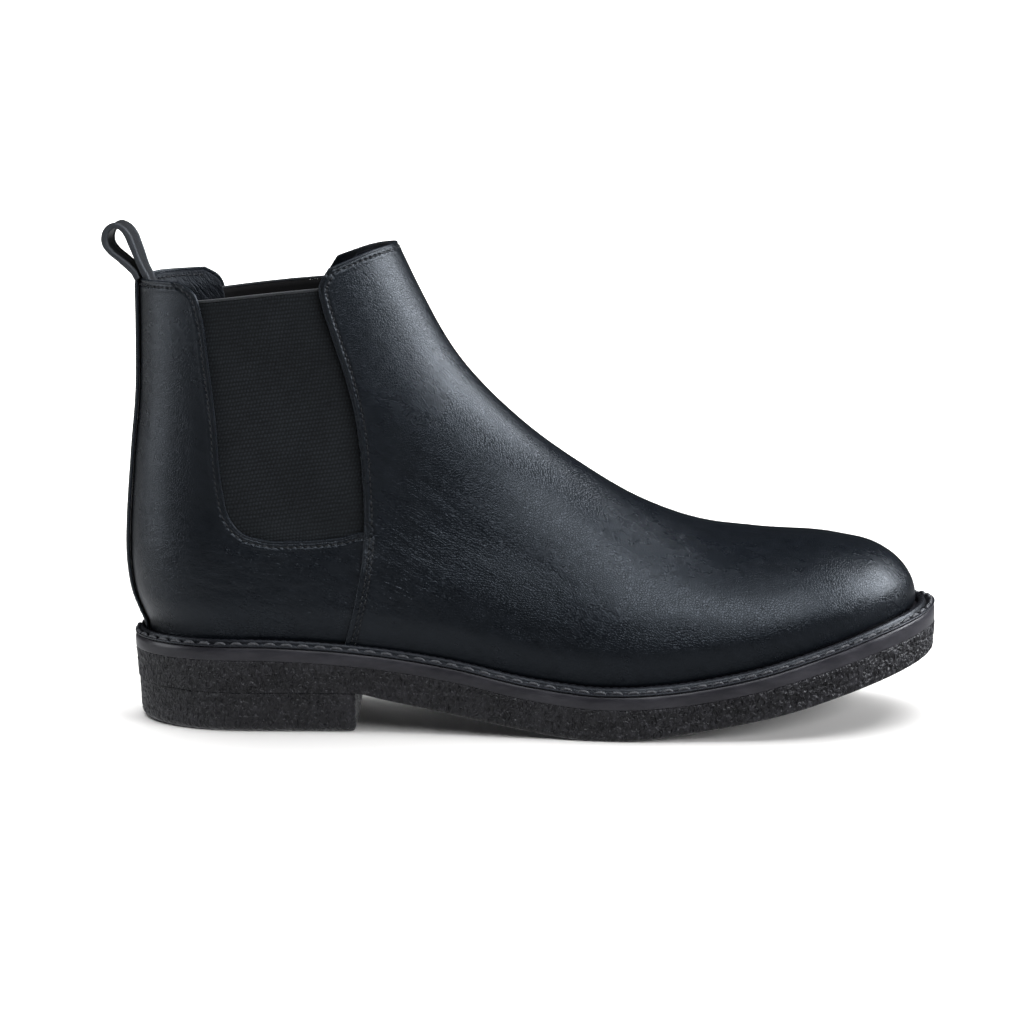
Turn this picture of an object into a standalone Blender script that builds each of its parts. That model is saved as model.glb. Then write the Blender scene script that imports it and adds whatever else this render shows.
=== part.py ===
"""Right-foot chelsea boot with a crepe-textured welted sole, as an assembly of separate pieces.

Lengths are in millimetres until MM turns them into metres. x runs from the back of the sole to
the toe, y towards the wearer's other foot, and z up from the ground.
"""

import math

import bmesh
import bpy
import numpy as np
from mathutils import Vector
from mathutils.geometry import delaunay_2d_cdt

MM = 0.001

# Driving dimensions
SOLE_LENGTH = 306.0
HEEL_HEIGHT = 15.0
HEEL_BREAST = 85.5
CLEARANCE = 0.3
FRAME_SHIFT = (-148.275, -0.6, 0.0)

# Half widths of the sole on each side of its centre line, before its ends are rounded: (x, y)
LATERAL_HALF = [(0, 34.0), (45, 36.0), (100, 38.5), (150, 47.5), (195, 55.0), (250, 54.5), (306, 53.0)]
MEDIAL_HALF = [(0, 34.0), (45, 35.0), (100, 31.5), (150, 37.5), (205, 46.5), (260, 47.5), (306, 47.0)]
HEEL_ROUNDING = 42.0
TOE_ROUNDING = 74.0
TOE_SWING = 6.0

# The upper starts this far inside the sole's edge at the heel and at the toe
HEEL_REACH = 3.8
TOE_REACH = 7.2

# Heights along the sole, and the height of the band on it: (x, z)
TREAD = [(0, 15.0), (84, 15.0), (98, 12.4), (114, 9.4), (140, 4.6), (160, 1.2), (176, 0.0),
         (188, 0.5), (204, 2.3), (225, 5.6), (247, 10.2), (266, 15.2), (288, 20.8), (306, 25.2)]
DECK = [(0, 26.6), (45, 27.2), (84, 25.2), (121, 20.4), (152, 14.2), (178, 11.8),
        (204, 13.2), (230, 17.4), (257, 24.2), (285, 31.4), (306, 35.8)]
BAND = [(0, 4.9), (200, 4.9), (306, 6.2)]

# The upper's outline in side view, up from its base on the sole: (x, z)
RIDGE = [(298.6, 46.0), (297.2, 51.2), (293.0, 57.6), (284.4, 64.0), (268.7, 68.2),
         (238.2, 70.9), (215.4, 74.2), (192.5, 82.5), (169.7, 96.2), (146.9, 113.2),
         (124.3, 137.1), (109.4, 162.4), (100.9, 180.7)]
BACK = [(3.7, 35.5), (1.8, 40.5), (-0.6, 47.0), (-2.3, 57.0), (-2.7, 66.0), (-2.4, 75.0),
        (-0.3, 101.0), (1.9, 124.0), (2.5, 143.0), (2.5, 167.0)]
TOPLINE = [(2.5, 167.0), (25, 167.2), (50, 167.8), (68, 169.4), (80, 174.0), (91.7, 178.4), (100.9, 180.7)]

# Seams in side view, each from the bottom up: (x, z)
VAMP_SEAM = [(81.4, 31.6), (85.0, 46.4), (87.6, 59.6), (89.0, 72.8), (88.6, 95.2), (86.8, 113.8),
             (82.8, 132.1), (77.6, 148.5), (74.6, 158.5), (73.4, 166.0), (77.0, 172.6)]
QUARTER_EDGE = [(89.5, 31.4), (96.0, 60.0), (95.5, 72.6), (90.0, 75.0), (80.4, 73.2), (65.6, 72.0),
                (52.0, 72.4), (43.6, 75.2), (39.0, 81.0), (36.8, 90.0), (34.2, 117.2), (31.6, 139.2),
                (29.4, 155.0), (26.6, 163.2), (20.5, 167.1)]
GUSSET_REAR = [(45.0, 64.5), (33.5, 72.0), (29.5, 84.0), (26.6, 117.0), (23.6, 145.0), (21.6, 158.6)]
GUSSET_FRONT = [(96.0, 66.5), (97.0, 80.0), (96.6, 96.0), (94.4, 115.0), (90.4, 133.0),
                (84.0, 151.0), (80.8, 165.0)]
LINING_SEAM = [(91.0, 31.4), (98.0, 59.6), (100.5, 80.0), (99.0, 105.0), (95.0, 130.0), (88.5, 152.0),
               (84.5, 166.0), (86.0, 175.6)]
PUFF_SEAM = [(234.0, 22.0), (235.5, 45.0), (239.0, 66.0)]
HEEL_LINING_SEAM = [(86.0, 31.2), (87.0, 50.0), (86.0, 70.0)]
COLLAR_LINING_SEAM = [(26.0, 79.0), (21.0, 117.0), (17.0, 148.0), (14.0, 166.2)]
COUNTER_SEAM = [(72.0, 31.4), (66.0, 45.0), (42.0, 68.0)]
BINDING_HEIGHT = 1.6
STRIP_DEPTH = 1.1

# The upper rear of the boot leans back on a line through the back of the heel and the elastic's corner
SPLIT_HEIGHT = 75.0
SPLIT_ROW = 0.475
SPLIT_GAP = 0.0035
SEAM_ANGLE = 0.03

# Height shares count this much more than angles where the upper's facets are laid out
SHARE_SCALE = 3.0

# A facet of the upper turns no more than this, in radians
LARGEST_BEND = 0.36

# Layers of the upper, as depths below the outer surface: (outer face, inner face)
OUTER_LAYER = (0.0, 1.1)
QUARTER_LAYER = (1.5, 2.6)
PUFF_LAYER = (2.6, 3.6)
ELASTIC_LAYER = (3.2, 4.2)
COLLAR_LINING_LAYER = (3.4, 4.4)
FRONT_LINING_LAYER = (4.2, 5.2)
COUNTER_LAYER = (4.3, 5.3)
HEEL_LINING_LAYER = (7.2, 8.2)

# Shaft of the boot: half widths at heights, and the rounding of its front
SHAFT_HALF = [(30, 31.0), (60, 32.0), (95, 30.6), (125, 30.2), (180, 31.4)]
BACK_ROUNDING = [(30, 38.0), (75, 40.0), (180, 46.0)]
FRONT_ROUNDING = 50.0
FORE_START = 75.0
FORE_END = 150.0
ARCH_POWER = [(80, 1.35), (150, 1.4), (200, 1.9), (260, 2.3), (298, 2.5)]
BULGE = 1.5

# Layers of the sole: (inset at the heel, inset at the toe, height in mm above the layer's base line)
OUTSOLE_EDGE = ((2.4, 1.8, 0.0), (1.6, 1.0, 1.0), (0.6, 0.4, 0.0))
HEEL_EDGE = ((3.4, 3.4, 0.0), (2.4, 2.4, 1.0), (2.0, 2.0, HEEL_HEIGHT - CLEARANCE))
BAND_CHAMFER = 0.9

# The welt and its thread in section: (share of the welt's reach, height above the band)
WELT_SECTION = [(0.12, 0.3), (0.94, 0.3), (0.96, 1.0), (0.80, 1.3), (0.66, 0.8), (0.46, 0.8),
                (0.40, 1.9), (0.26, 2.6), (0.12, 2.5)]
WELT_THREAD_SECTION = [(0.49, 1.6), (0.525, 1.21), (0.595, 1.21), (0.63, 1.6), (0.595, 1.99), (0.525, 1.99)]

# Insides of the sole: (inset at the heel, inset at the toe, lowest and highest height above the band)
FILLER = (11.5, 15.5, 0.4, 2.0)
SHANK = (0.0, 0.0, 0.5, 1.7)
SHANK_HALF = 7.0
INSOLE = (12.8, 15.5, 2.4, 4.4)
CUSHION = (13.4, 15.5, 4.7, 7.6)
SOCK = (13.2, 16.0, 4.7, 6.2)
SOCK_RISE = 3.3

# Joints: (x, z) of each axis, which runs along y
COLLAR_HINGE = (-2.8, 75.0)
TAB_HINGE = (6.0, 170.2)

# Pull tab: its centre line in side view, its width and its thickness
TAB_LINE = [(7.9, 170.4), (6.0, 174.8), (3.7, 179.4), (1.3, 183.4), (-1.1, 185.9), (-3.9, 186.6),
            (-6.7, 185.1), (-8.3, 181.8), (-7.7, 178.4), (-4.7, 175.4), (0.1, 172.2), (4.2, 169.6)]
TAB_WIDTH = 16.0
TAB_THICKNESS = 2.2

NAILS = [(16.0, 0.0), (30.0, -16.0), (30.0, 16.0), (54.0, -20.0), (54.0, 20.0)]
NAIL_RADIUS = 1.1
NAIL_HEAD_RADIUS = 2.2
NAIL_TIP = 5.0

LEATHER = ((0.018, 0.020, 0.026), 0.38, 0.0)
COLORS = {
    "upper_leather": LEATHER,
    "lining_leather": ((0.030, 0.030, 0.036), 0.60, 0.0),
    "elastic": ((0.022, 0.023, 0.026), 0.85, 0.0),
    "crepe_rubber": ((0.030, 0.027, 0.030), 0.80, 0.0),
    "sole_band": ((0.034, 0.030, 0.034), 0.55, 0.0),
    "thread": ((0.040, 0.040, 0.045), 0.70, 0.0),
    "board": ((0.36, 0.27, 0.18), 0.90, 0.0),
    "cork": ((0.45, 0.30, 0.17), 0.95, 0.0),
    "foam": ((0.50, 0.50, 0.47), 0.95, 0.0),
    "stiffener": ((0.55, 0.50, 0.42), 0.80, 0.0),
    "steel": ((0.55, 0.56, 0.58), 0.35, 1.0),
}


# Curves

def spline(points, limited=True):
    """A smooth function through (x, y) points; limited slopes keep it from overshooting."""
    x, y = np.array(points, dtype=float).T
    steps = np.diff(x)
    rates = np.diff(y) / steps
    slopes = np.empty(len(x))
    slopes[0], slopes[-1] = rates[0], rates[-1]
    slopes[1:-1] = (rates[:-1] * steps[1:] + rates[1:] * steps[:-1]) / (steps[1:] + steps[:-1])
    if limited:
        turning = rates[:-1] * rates[1:] <= 0
        slopes[1:-1] = np.where(turning, 0.0, slopes[1:-1])

    def value(at):
        at = np.clip(np.asarray(at, dtype=float), x[0], x[-1])
        i = np.clip(np.searchsorted(x, at) - 1, 0, len(steps) - 1)
        s = (at - x[i]) / steps[i]
        rise = y[i] * (1 + 2 * s) * (1 - s) ** 2 + y[i + 1] * s * s * (3 - 2 * s)
        return rise + steps[i] * (slopes[i] * s * (1 - s) ** 2 - slopes[i + 1] * s * s * (1 - s))

    return value


def path(points):
    """A smooth curve through (x, z) points, as a function of the share of its length."""
    points = np.array(points, dtype=float)
    lengths = np.concatenate([[0], np.cumsum(np.linalg.norm(np.diff(points, axis=0), axis=1))])
    share = lengths / lengths[-1]
    along_x = spline(np.column_stack([share, points[:, 0]]), limited=False)
    along_z = spline(np.column_stack([share, points[:, 1]]), limited=False)
    return lambda at: (along_x(at), along_z(at))


def smoothstep(value, low, high):
    share = np.clip((value - low) / (high - low), 0.0, 1.0)
    return share * share * (3 - 2 * share)


def rounding(distance, radius):
    """Share of the full width at a distance from a rounded end."""
    return np.sqrt(np.clip(1 - (1 - np.clip(distance / radius, 0, 1)) ** 2, 0, 1))


tread = spline(TREAD)
deck = spline(DECK)
band = spline(BAND)
lateral_half = spline(LATERAL_HALF)
medial_half = spline(MEDIAL_HALF)
shaft_half = spline(SHAFT_HALF)
back_rounding = spline(BACK_ROUNDING)
arch_power = spline(ARCH_POWER)
topline = spline(TOPLINE)


def band_top(x):
    return deck(x) + CLEARANCE + band(x)


def upper_base(x):
    return band_top(x) + CLEARANCE


TOE_FOOT = (SOLE_LENGTH - TOE_REACH, float(upper_base(SOLE_LENGTH - TOE_REACH)))
HEEL_FOOT = (HEEL_REACH, float(upper_base(HEEL_REACH)))
ridge = path([TOE_FOOT] + RIDGE)
back = path([HEEL_FOOT] + BACK)
SAMPLES = np.linspace(0, 1, 4001)
RIDGE_X, RIDGE_Z = ridge(SAMPLES)
BACK_X, BACK_Z = back(SAMPLES)


def centre_line(x):
    return TOE_SWING * smoothstep(x, 60.0, 300.0)


def side_half(x, side, heel_inset, toe_inset):
    """Half width of the sole before its ends are rounded, with its edge moved in by an inset."""
    half = np.where(side < 0, lateral_half(x), medial_half(x))
    return half - heel_inset - (toe_inset - heel_inset) * smoothstep(x, 40.0, 200.0)


def edge_half(x, side, heel_inset, toe_inset):
    """Half width of the sole, with its edge moved in by an inset at the heel and at the toe."""
    heel_end = rounding(x - heel_inset, HEEL_ROUNDING - heel_inset)
    toe_end = rounding(SOLE_LENGTH - toe_inset - x, TOE_ROUNDING - toe_inset)
    return side_half(x, side, heel_inset, toe_inset) * heel_end * toe_end


# The upper's outer surface, from an angle round the boot and a share of its height

def side_view(sigma, t):
    """The side view's x and z, blended from the outline's four edges."""
    base_x = HEEL_REACH + (SOLE_LENGTH - TOE_REACH - HEEL_REACH) * sigma
    top_x = TOPLINE[0][0] + (TOPLINE[-1][0] - TOPLINE[0][0]) * sigma
    edges = ((base_x, upper_base(base_x)), (top_x, topline(top_x)))
    back_edge, ridge_edge = back(t), ridge(t)
    result = []
    for axis in (0, 1):
        low, high = edges[0][axis], edges[1][axis]
        rear, front = back_edge[axis], ridge_edge[axis]
        corners = [HEEL_FOOT[axis], TOE_FOOT[axis], BACK[-1][axis], RIDGE[-1][axis]]
        corner = ((1 - sigma) * (1 - t) * corners[0] + sigma * (1 - t) * corners[1]
                  + (1 - sigma) * t * corners[2] + sigma * t * corners[3])
        result.append((1 - t) * low + t * high + (1 - sigma) * rear + sigma * front - corner)
    return result


def half_breadth(x, z, side):
    """Half the upper's breadth at a point of the side view."""
    base = edge_half(x, side, HEEL_REACH, TOE_REACH)
    base_z = upper_base(np.clip(x, HEEL_REACH, SOLE_LENGTH - TOE_REACH))
    ridge_z = np.interp(-x, -RIDGE_X, RIDGE_Z)
    ridge_z = ridge_z + np.clip(RIDGE_X[-1] - x, 0, None) * 2.2
    height = np.clip((z - base_z) / np.maximum(ridge_z - base_z, 1.0), 0, 1)
    fore = base * np.sqrt(1 - height ** arch_power(x))
    rear_x = np.interp(z, BACK_Z, BACK_X)
    front_x = np.interp(z, RIDGE_Z, RIDGE_X)
    foot_half = side_half(x, side, HEEL_REACH, TOE_REACH)
    width = foot_half + (shaft_half(z) - foot_half) * smoothstep(z, 35.0, 95.0)
    shaft = width * rounding(x - rear_x, back_rounding(z)) * rounding(front_x - x, FRONT_ROUNDING)
    share = smoothstep(x, FORE_START, FORE_END)
    breadth = shaft + (fore - shaft) * share
    rise = z - base_z
    bulge = BULGE * smoothstep(rise, 3.0, 16.0) * (1 - smoothstep(rise, 24.0, 52.0))
    return breadth + bulge * np.clip(breadth / 25.0, 0, 1) * np.clip(1.4 * (1 - height), 0, 1)


def surface(angle, t):
    """Points of the outer surface; angle 0 is the back, -pi to 0 is lateral and beyond is medial."""
    angle = (np.asarray(angle, dtype=float) + math.pi) % (2 * math.pi) - math.pi
    side = np.where(angle < 0, -1.0, 1.0)
    sigma = (1 - np.cos(angle)) / 2
    x, z = side_view(sigma, t)
    y = centre_line(x) + side * half_breadth(x, z, side)
    return np.stack([x, y, z], axis=-1)


def layer(angle, t, depth):
    """Points at a depth below the outer surface."""
    turn, rise = 0.03, 0.006
    t = np.asarray(t, dtype=float)
    across = surface(angle + turn, t) - surface(angle - turn, t)
    low, high = np.clip(t - rise, 0, 1), np.clip(t + rise, 0, 1)
    up = surface(angle, high) - surface(angle, low)
    normal = np.cross(up, across)
    normal /= np.linalg.norm(normal, axis=-1, keepdims=True)
    return surface(angle, t) - normal * depth


def slope(after, before, span):
    """Rates of change of x and z over a span."""
    return [(a - b) / (span[0] - span[1]) for a, b in zip(after, before)]


def locate(points):
    """Angle round the lateral side and height share of side-view points."""
    target = np.array(points, dtype=float)
    grid_s, grid_t = np.meshgrid(np.linspace(0, 1, 81), np.linspace(0, 1, 81), indexing="ij")
    grid_x, grid_z = side_view(grid_s.ravel(), grid_t.ravel())
    far = (grid_x[None] - target[:, :1]) ** 2 + (grid_z[None] - target[:, 1:]) ** 2
    nearest = np.argmin(far, axis=1)
    s, t = grid_s.ravel()[nearest], grid_t.ravel()[nearest]
    step = 1e-3
    for _ in range(20):
        x, z = side_view(s, t)
        ahead = np.clip(s + step, 0, 1), np.clip(s - step, 0, 1)
        above = np.clip(t + step, 0, 1), np.clip(t - step, 0, 1)
        xs, zs = slope(side_view(ahead[0], t), side_view(ahead[1], t), ahead)
        xt, zt = slope(side_view(s, above[0]), side_view(s, above[1]), above)
        area = xs * zt - xt * zs
        dx, dz = target[:, 0] - x, target[:, 1] - z
        s = np.clip(s + (dx * zt - dz * xt) / area, 0, 1)
        t = np.clip(t + (dz * xs - dx * zs) / area, 0, 1)
    return np.arccos(1 - 2 * s), t


def seam(points, rows):
    """A seam line as angles and height shares, at evenly spaced rows."""
    return locate(np.column_stack(path(points)(rows)))


# Making objects

def material(slot):
    found = bpy.data.materials.get(slot)
    if found:
        return found
    color, roughness, metallic = COLORS[slot]
    made = bpy.data.materials.new(slot)
    made.use_nodes = True
    shader = made.node_tree.nodes["Principled BSDF"]
    shader.inputs["Base Color"].default_value = (*color, 1.0)
    shader.inputs["Roughness"].default_value = roughness
    shader.inputs["Metallic"].default_value = metallic
    return made


def add_object(name, points, faces, slot, parent):
    """A mesh object whose points, in millimetres of the boot, hang from a parent empty."""
    mesh = bpy.data.meshes.new(name)
    origin = np.array(parent["origin"])
    mesh.from_pydata(((np.asarray(points) - origin) * MM).tolist(), [], faces)
    mesh.update()
    mesh.shade_smooth()
    mesh.set_sharp_from_angle(angle=math.radians(40))
    mesh.materials.append(material(slot))
    made = bpy.data.objects.new(name, mesh)
    made.parent = parent
    bpy.data.collections["chelsea_boot"].objects.link(made)
    return made


def add_empty(name, origin, parent=None):
    """An empty at a point of the boot's frame; pieces that hang from it turn about it."""
    made = bpy.data.objects.new(name, None)
    above = np.array(parent["origin"]) if parent else np.zeros(3) - np.array(FRAME_SHIFT)
    made.location = (np.array(origin) - above) * MM
    made["origin"] = list(origin)
    made.parent = parent
    bpy.data.collections["chelsea_boot"].objects.link(made)
    return made


def inside(outline, angle, t):
    """Whether points lie inside a closed outline of angles and height shares."""
    count = np.zeros(len(angle), dtype=int)
    for (a0, t0), (a1, t1) in zip(outline, np.roll(outline, -1, axis=0)):
        if t0 == t1:
            continue
        crosses = (t0 > t) != (t1 > t)
        count += crosses & (angle < a0 + (a1 - a0) * (t - t0) / (t1 - t0))
    return count % 2 == 1


def steps_along(line, spacing):
    """Running count of facets along lines of points (points, lines, xyz), more where they bend."""
    pieces = np.diff(line, axis=0)
    lengths = np.maximum(np.linalg.norm(pieces, axis=2), 1e-6)
    heading = pieces / lengths[..., None]
    bends = np.arccos(np.clip(np.sum(heading[1:] * heading[:-1], axis=2), -1, 1))
    bends = np.concatenate([np.zeros((1, bends.shape[1])), bends])
    most = (lengths / spacing + bends / LARGEST_BEND).max(axis=1)
    return np.concatenate([[0], np.cumsum(most)])


def spread(low, high, steps):
    """Even facets between two limits, by a running count over evenly spaced values."""
    count = max(3, round(steps[-1]))
    return np.interp(np.linspace(0, steps[-1], count + 1), steps, np.linspace(low, high, len(steps)))


def fill(outline, spacing):
    """Points spread over an outline's inside, about one spacing apart on the surface."""
    low, high = outline.min(axis=0), outline.max(axis=0)
    edge = surface(outline[:, 0], outline[:, 1])
    angles = np.linspace(low[0], high[0], 8 + round((high[0] - low[0]) / 0.06))
    shares = np.linspace(low[1], high[1], 40)
    across = np.linspace(low[0], high[0], 9)[1:-1]
    sheet = surface(across[None].repeat(len(shares), axis=0), shares[:, None].repeat(len(across), axis=1))
    chosen = []
    for t in spread(low[1], high[1], steps_along(sheet, spacing))[1:-1]:
        line = surface(angles, np.full_like(angles, t))
        angle = spread(low[0], high[0], steps_along(line[:, None], spacing))
        share = np.full_like(angle, t)
        near = np.linalg.norm(surface(angle, share)[:, None] - edge[None], axis=2).min(axis=1)
        kept = inside(outline, angle, share) & (near > 0.55 * spacing)
        chosen.append(np.column_stack([angle, share])[kept])
    return np.concatenate(chosen)


def back_shares(low, high, spacing=9.0):
    """Height shares along the back line, closer together where the upper curls in at the sole."""
    shares = np.linspace(low, high, 40)
    return spread(low, high, steps_along(surface(np.zeros_like(shares), shares)[:, None], spacing))


def add_panel(name, outline, spacing, depths, slot, parent):
    """A leather panel: a closed outline of (angle, height share) points, filled and thickened."""
    outline = np.array(outline)
    flat = np.concatenate([outline, fill(outline, spacing)])
    border = [(i, (i + 1) % len(outline)) for i in range(len(outline))]
    plane = [Vector((angle, share * SHARE_SCALE)) for angle, share in flat.tolist()]
    plane, _, faces, *_ = delaunay_2d_cdt(plane, border, [], 1, 1e-7)
    angle, share = np.array([(point.x, point.y / SHARE_SCALE) for point in plane]).T
    outer, inner = depths
    made = add_object(name, layer(angle, share, outer), [face[::-1] for face in faces], slot, parent)
    thickness = made.modifiers.new("Thickness", "SOLIDIFY")
    thickness.thickness = (inner - outer) * MM
    thickness.offset = -1
    thickness.use_even_offset = True


def run(start, end, count):
    """Evenly spaced points from start towards end, without the end itself."""
    share = np.linspace(0, 1, count, endpoint=False)[:, None]
    return (np.array(start) + (np.array(end) - np.array(start)) * share).tolist()


def symmetric(side_line, top_count, bottom_count, centre):
    """An outline of a lateral seam line, its medial twin and the edges that join them."""
    angle, share = side_line
    lateral = np.column_stack([-angle, share]).tolist()
    medial = np.column_stack([2 * centre + angle, share]).tolist()
    across = run(lateral[-1], medial[-1], top_count)[1:]
    back_again = run(medial[0], lateral[0], bottom_count)[1:]
    return lateral + across + medial[::-1] + back_again


def mirrored(outline):
    """A lateral outline's twin on the medial side."""
    return [(-angle, share) for angle, share in outline]


def sole_line(stations, side, heel_inset, toe_inset, first=0.0, last=1.0):
    """Plan outline of one side of the sole, with more stations towards its rounded ends."""
    share = (1 - np.cos(np.linspace(math.acos(1 - 2 * first), math.acos(1 - 2 * last), stations))) / 2
    x = heel_inset + (SOLE_LENGTH - toe_inset - heel_inset) * share
    return x, centre_line(x) + side * edge_half(x, side, heel_inset, toe_inset)


def add_slab(name, levels, slot, parent, stations=29, first=0.0, last=1.0, narrow=None):
    """A layer of the sole: levels are (heel inset, toe inset, height function), bottom first."""
    points, loops = [], []
    for heel_inset, toe_inset, height in levels:
        sides = []
        for side in (-1, 1):
            x, y = sole_line(stations, side, heel_inset, toe_inset, first, last)
            if narrow:
                y = centre_line(x) + side * narrow(x)
            sides.append(np.column_stack([x, y, height(x)]))
        start = sum(len(block) for block in points)
        closed_heel, closed_toe = first == 0.0, last == 1.0
        lateral = list(range(start, start + stations))
        points.append(sides[0])
        kept = slice(1 if closed_heel else 0, stations - 1 if closed_toe else stations)
        points.append(sides[1][kept])
        medial = list(range(start + stations, start + stations + len(points[-1])))
        if closed_heel:
            medial = [lateral[0]] + medial
        if closed_toe:
            medial = medial + [lateral[-1]]
        loops.append((lateral, medial))
    faces = []
    for (low_lat, low_med), (top_lat, top_med) in zip(loops[:-1], loops[1:]):
        for i in range(stations - 1):
            faces.append((low_lat[i], low_lat[i + 1], top_lat[i + 1], top_lat[i]))
            faces.append((low_med[i + 1], low_med[i], top_med[i], top_med[i + 1]))
        if first > 0.0:
            faces.append((low_med[0], low_lat[0], top_lat[0], top_med[0]))
        if last < 1.0:
            faces.append((low_lat[-1], low_med[-1], top_med[-1], top_lat[-1]))
    for (lateral, medial), upward in ((loops[0], False), (loops[-1], True)):
        for i in range(stations - 1):
            corners = [lateral[i], lateral[i + 1], medial[i + 1], medial[i]]
            face = [c for k, c in enumerate(corners) if c not in corners[:k]]
            faces.append(face if upward else face[::-1])
    return add_object(name, np.concatenate(points), faces, slot, parent)


def add_ring(name, section, slot, parent, stations=29):
    """A closed ring round the upper: section points are (share of the welt's reach, height)."""
    loops = []
    for share, height in section:
        insets = HEEL_REACH * (1 - share), TOE_REACH * (1 - share)
        x, y = sole_line(stations, -1, *insets)
        lateral = np.column_stack([x, y, band_top(x) + height])
        x, y = sole_line(stations, 1, *insets)
        medial = np.column_stack([x, y, band_top(x) + height])
        loops.append(np.concatenate([lateral, medial[-2:0:-1]]))
    count = len(loops[0])
    faces = []
    for k in range(len(loops)):
        after = (k + 1) % len(loops)
        for i in range(count):
            j = (i + 1) % count
            faces.append((k * count + i, k * count + j, after * count + j, after * count + i))
    return add_object(name, np.concatenate(loops), faces, slot, parent)


def add_nail(name, x, y, parent):
    """A heel nail, turned about its own axis from a profile."""
    head = float(band_top(x)) + CLEARANCE
    profile = [(0, head + 1.0), (NAIL_HEAD_RADIUS, head + 1.0), (NAIL_HEAD_RADIUS, head),
               (NAIL_RADIUS, head), (NAIL_RADIUS, NAIL_TIP + 2.0), (0, NAIL_TIP)]
    mesh = bpy.data.meshes.new(name)
    points = [(radius * MM, 0.0, (height - NAIL_TIP) * MM) for radius, height in profile]
    mesh.from_pydata(points, [(i, i + 1) for i in range(len(points) - 1)], [])
    mesh.materials.append(material("steel"))
    made = bpy.data.objects.new(name, mesh)
    made.parent = parent
    made.location = (np.array((x, y, NAIL_TIP)) - np.array(parent["origin"])) * MM
    bpy.data.collections["chelsea_boot"].objects.link(made)
    turned = made.modifiers.new("Turned", "SCREW")
    turned.steps = turned.render_steps = 8
    turned.use_merge_vertices = True
    turned.merge_threshold = 0.00001
    return made


def add_cutter(name, x, y, radius, low, high):
    """A drill for a nail's hole."""
    mesh = bpy.data.meshes.new(name)
    drill = bmesh.new()
    bmesh.ops.create_cone(drill, cap_ends=True, segments=8, radius1=radius * MM, radius2=radius * MM,
                          depth=(high - low) * MM)
    drill.to_mesh(mesh)
    drill.free()
    made = bpy.data.objects.new(name, mesh)
    made.location = (np.array((x, y, (low + high) / 2)) + np.array(FRAME_SHIFT)) * MM
    made.hide_render = True
    made.display_type = "WIRE"
    bpy.data.collections["cutters"].objects.link(made)
    return made


def drill(made, cutter):
    cut = made.modifiers.new("Drill", "BOOLEAN")
    cut.operation = "DIFFERENCE"
    cut.solver = "EXACT"
    cut.object = cutter


# The pieces

def add_sole(root):
    low, edge, top = OUTSOLE_EDGE
    outsole = add_slab("outsole", [
        (*low[:2], tread),
        (*edge[:2], lambda x: tread(x) + edge[2]),
        (*top[:2], deck)], "crepe_rubber", root)
    heel_block = add_slab(
        "heel_block",
        [(heel, toe, lambda x, height=height: 0 * x + height) for heel, toe, height in HEEL_EDGE],
        "crepe_rubber", root, stations=15, last=HEEL_BREAST / SOLE_LENGTH)
    midsole = add_slab("midsole", [
        (0.5, 0.5, lambda x: deck(x) + CLEARANCE),
        (0.0, 0.0, lambda x: deck(x) + CLEARANCE + BAND_CHAMFER),
        (0.0, 0.0, lambda x: band_top(x) - BAND_CHAMFER),
        (0.6, 0.6, band_top)], "sole_band", root)
    for number, (x, y) in enumerate(NAILS, 1):
        add_nail(f"heel_nail_{number}", x, y, root)
        through = add_cutter(f"drill_{number}", x, y, NAIL_RADIUS + CLEARANCE, NAIL_TIP - 1.0, 40.0)
        for made in (outsole, heel_block, midsole):
            drill(made, through)


def add_welt(root):
    add_ring("welt", WELT_SECTION, "upper_leather", root)
    add_ring("welt_thread", WELT_THREAD_SECTION, "thread", root)


def add_insides(root):
    def add_layer(name, layout, slot, rise=0.0, **options):
        """A flat layer on the band; rise lifts it over the heel cushion."""
        heel, toe, low, high = layout
        levels = [(heel, toe, lambda x, up=up: band_top(x) + up + rise * (1 - smoothstep(x, 72.0, 105.0)))
                  for up in (low, high)]
        add_slab(name, levels, slot, root, **options)

    add_layer("bottom_filler", FILLER, "cork", stations=15, first=0.52, last=0.96)
    add_layer("shank", SHANK, "steel", stations=9, first=0.24, last=0.50,
              narrow=lambda x: 0 * x + SHANK_HALF)
    add_layer("insole_board", INSOLE, "board")
    add_layer("heel_cushion", CUSHION, "foam", stations=13, last=0.22)
    add_layer("sock_liner", SOCK, "lining_leather", SOCK_RISE)


def add_forepart(root):
    line = seam(VAMP_SEAM, np.linspace(0, 1, 20))
    add_panel("vamp", symmetric(line, 12, 36, -math.pi), 18.0, OUTER_LAYER, "upper_leather", root)
    line = seam(LINING_SEAM, np.linspace(0, 1, 14))
    line = line[0], np.minimum(line[1], 0.99)
    add_panel("vamp_lining", symmetric(line, 8, 30, -math.pi), 24.0, FRONT_LINING_LAYER,
              "lining_leather", root)
    line = seam(PUFF_SEAM, np.linspace(0, 1, 6))
    add_panel("toe_puff", symmetric(line, 10, 26, -math.pi), 14.0, PUFF_LAYER, "stiffener", root)


def back_share(height):
    """Share of the upper's height at which its back line reaches a height."""
    return float(np.interp(height, BACK_Z, SAMPLES))


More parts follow.
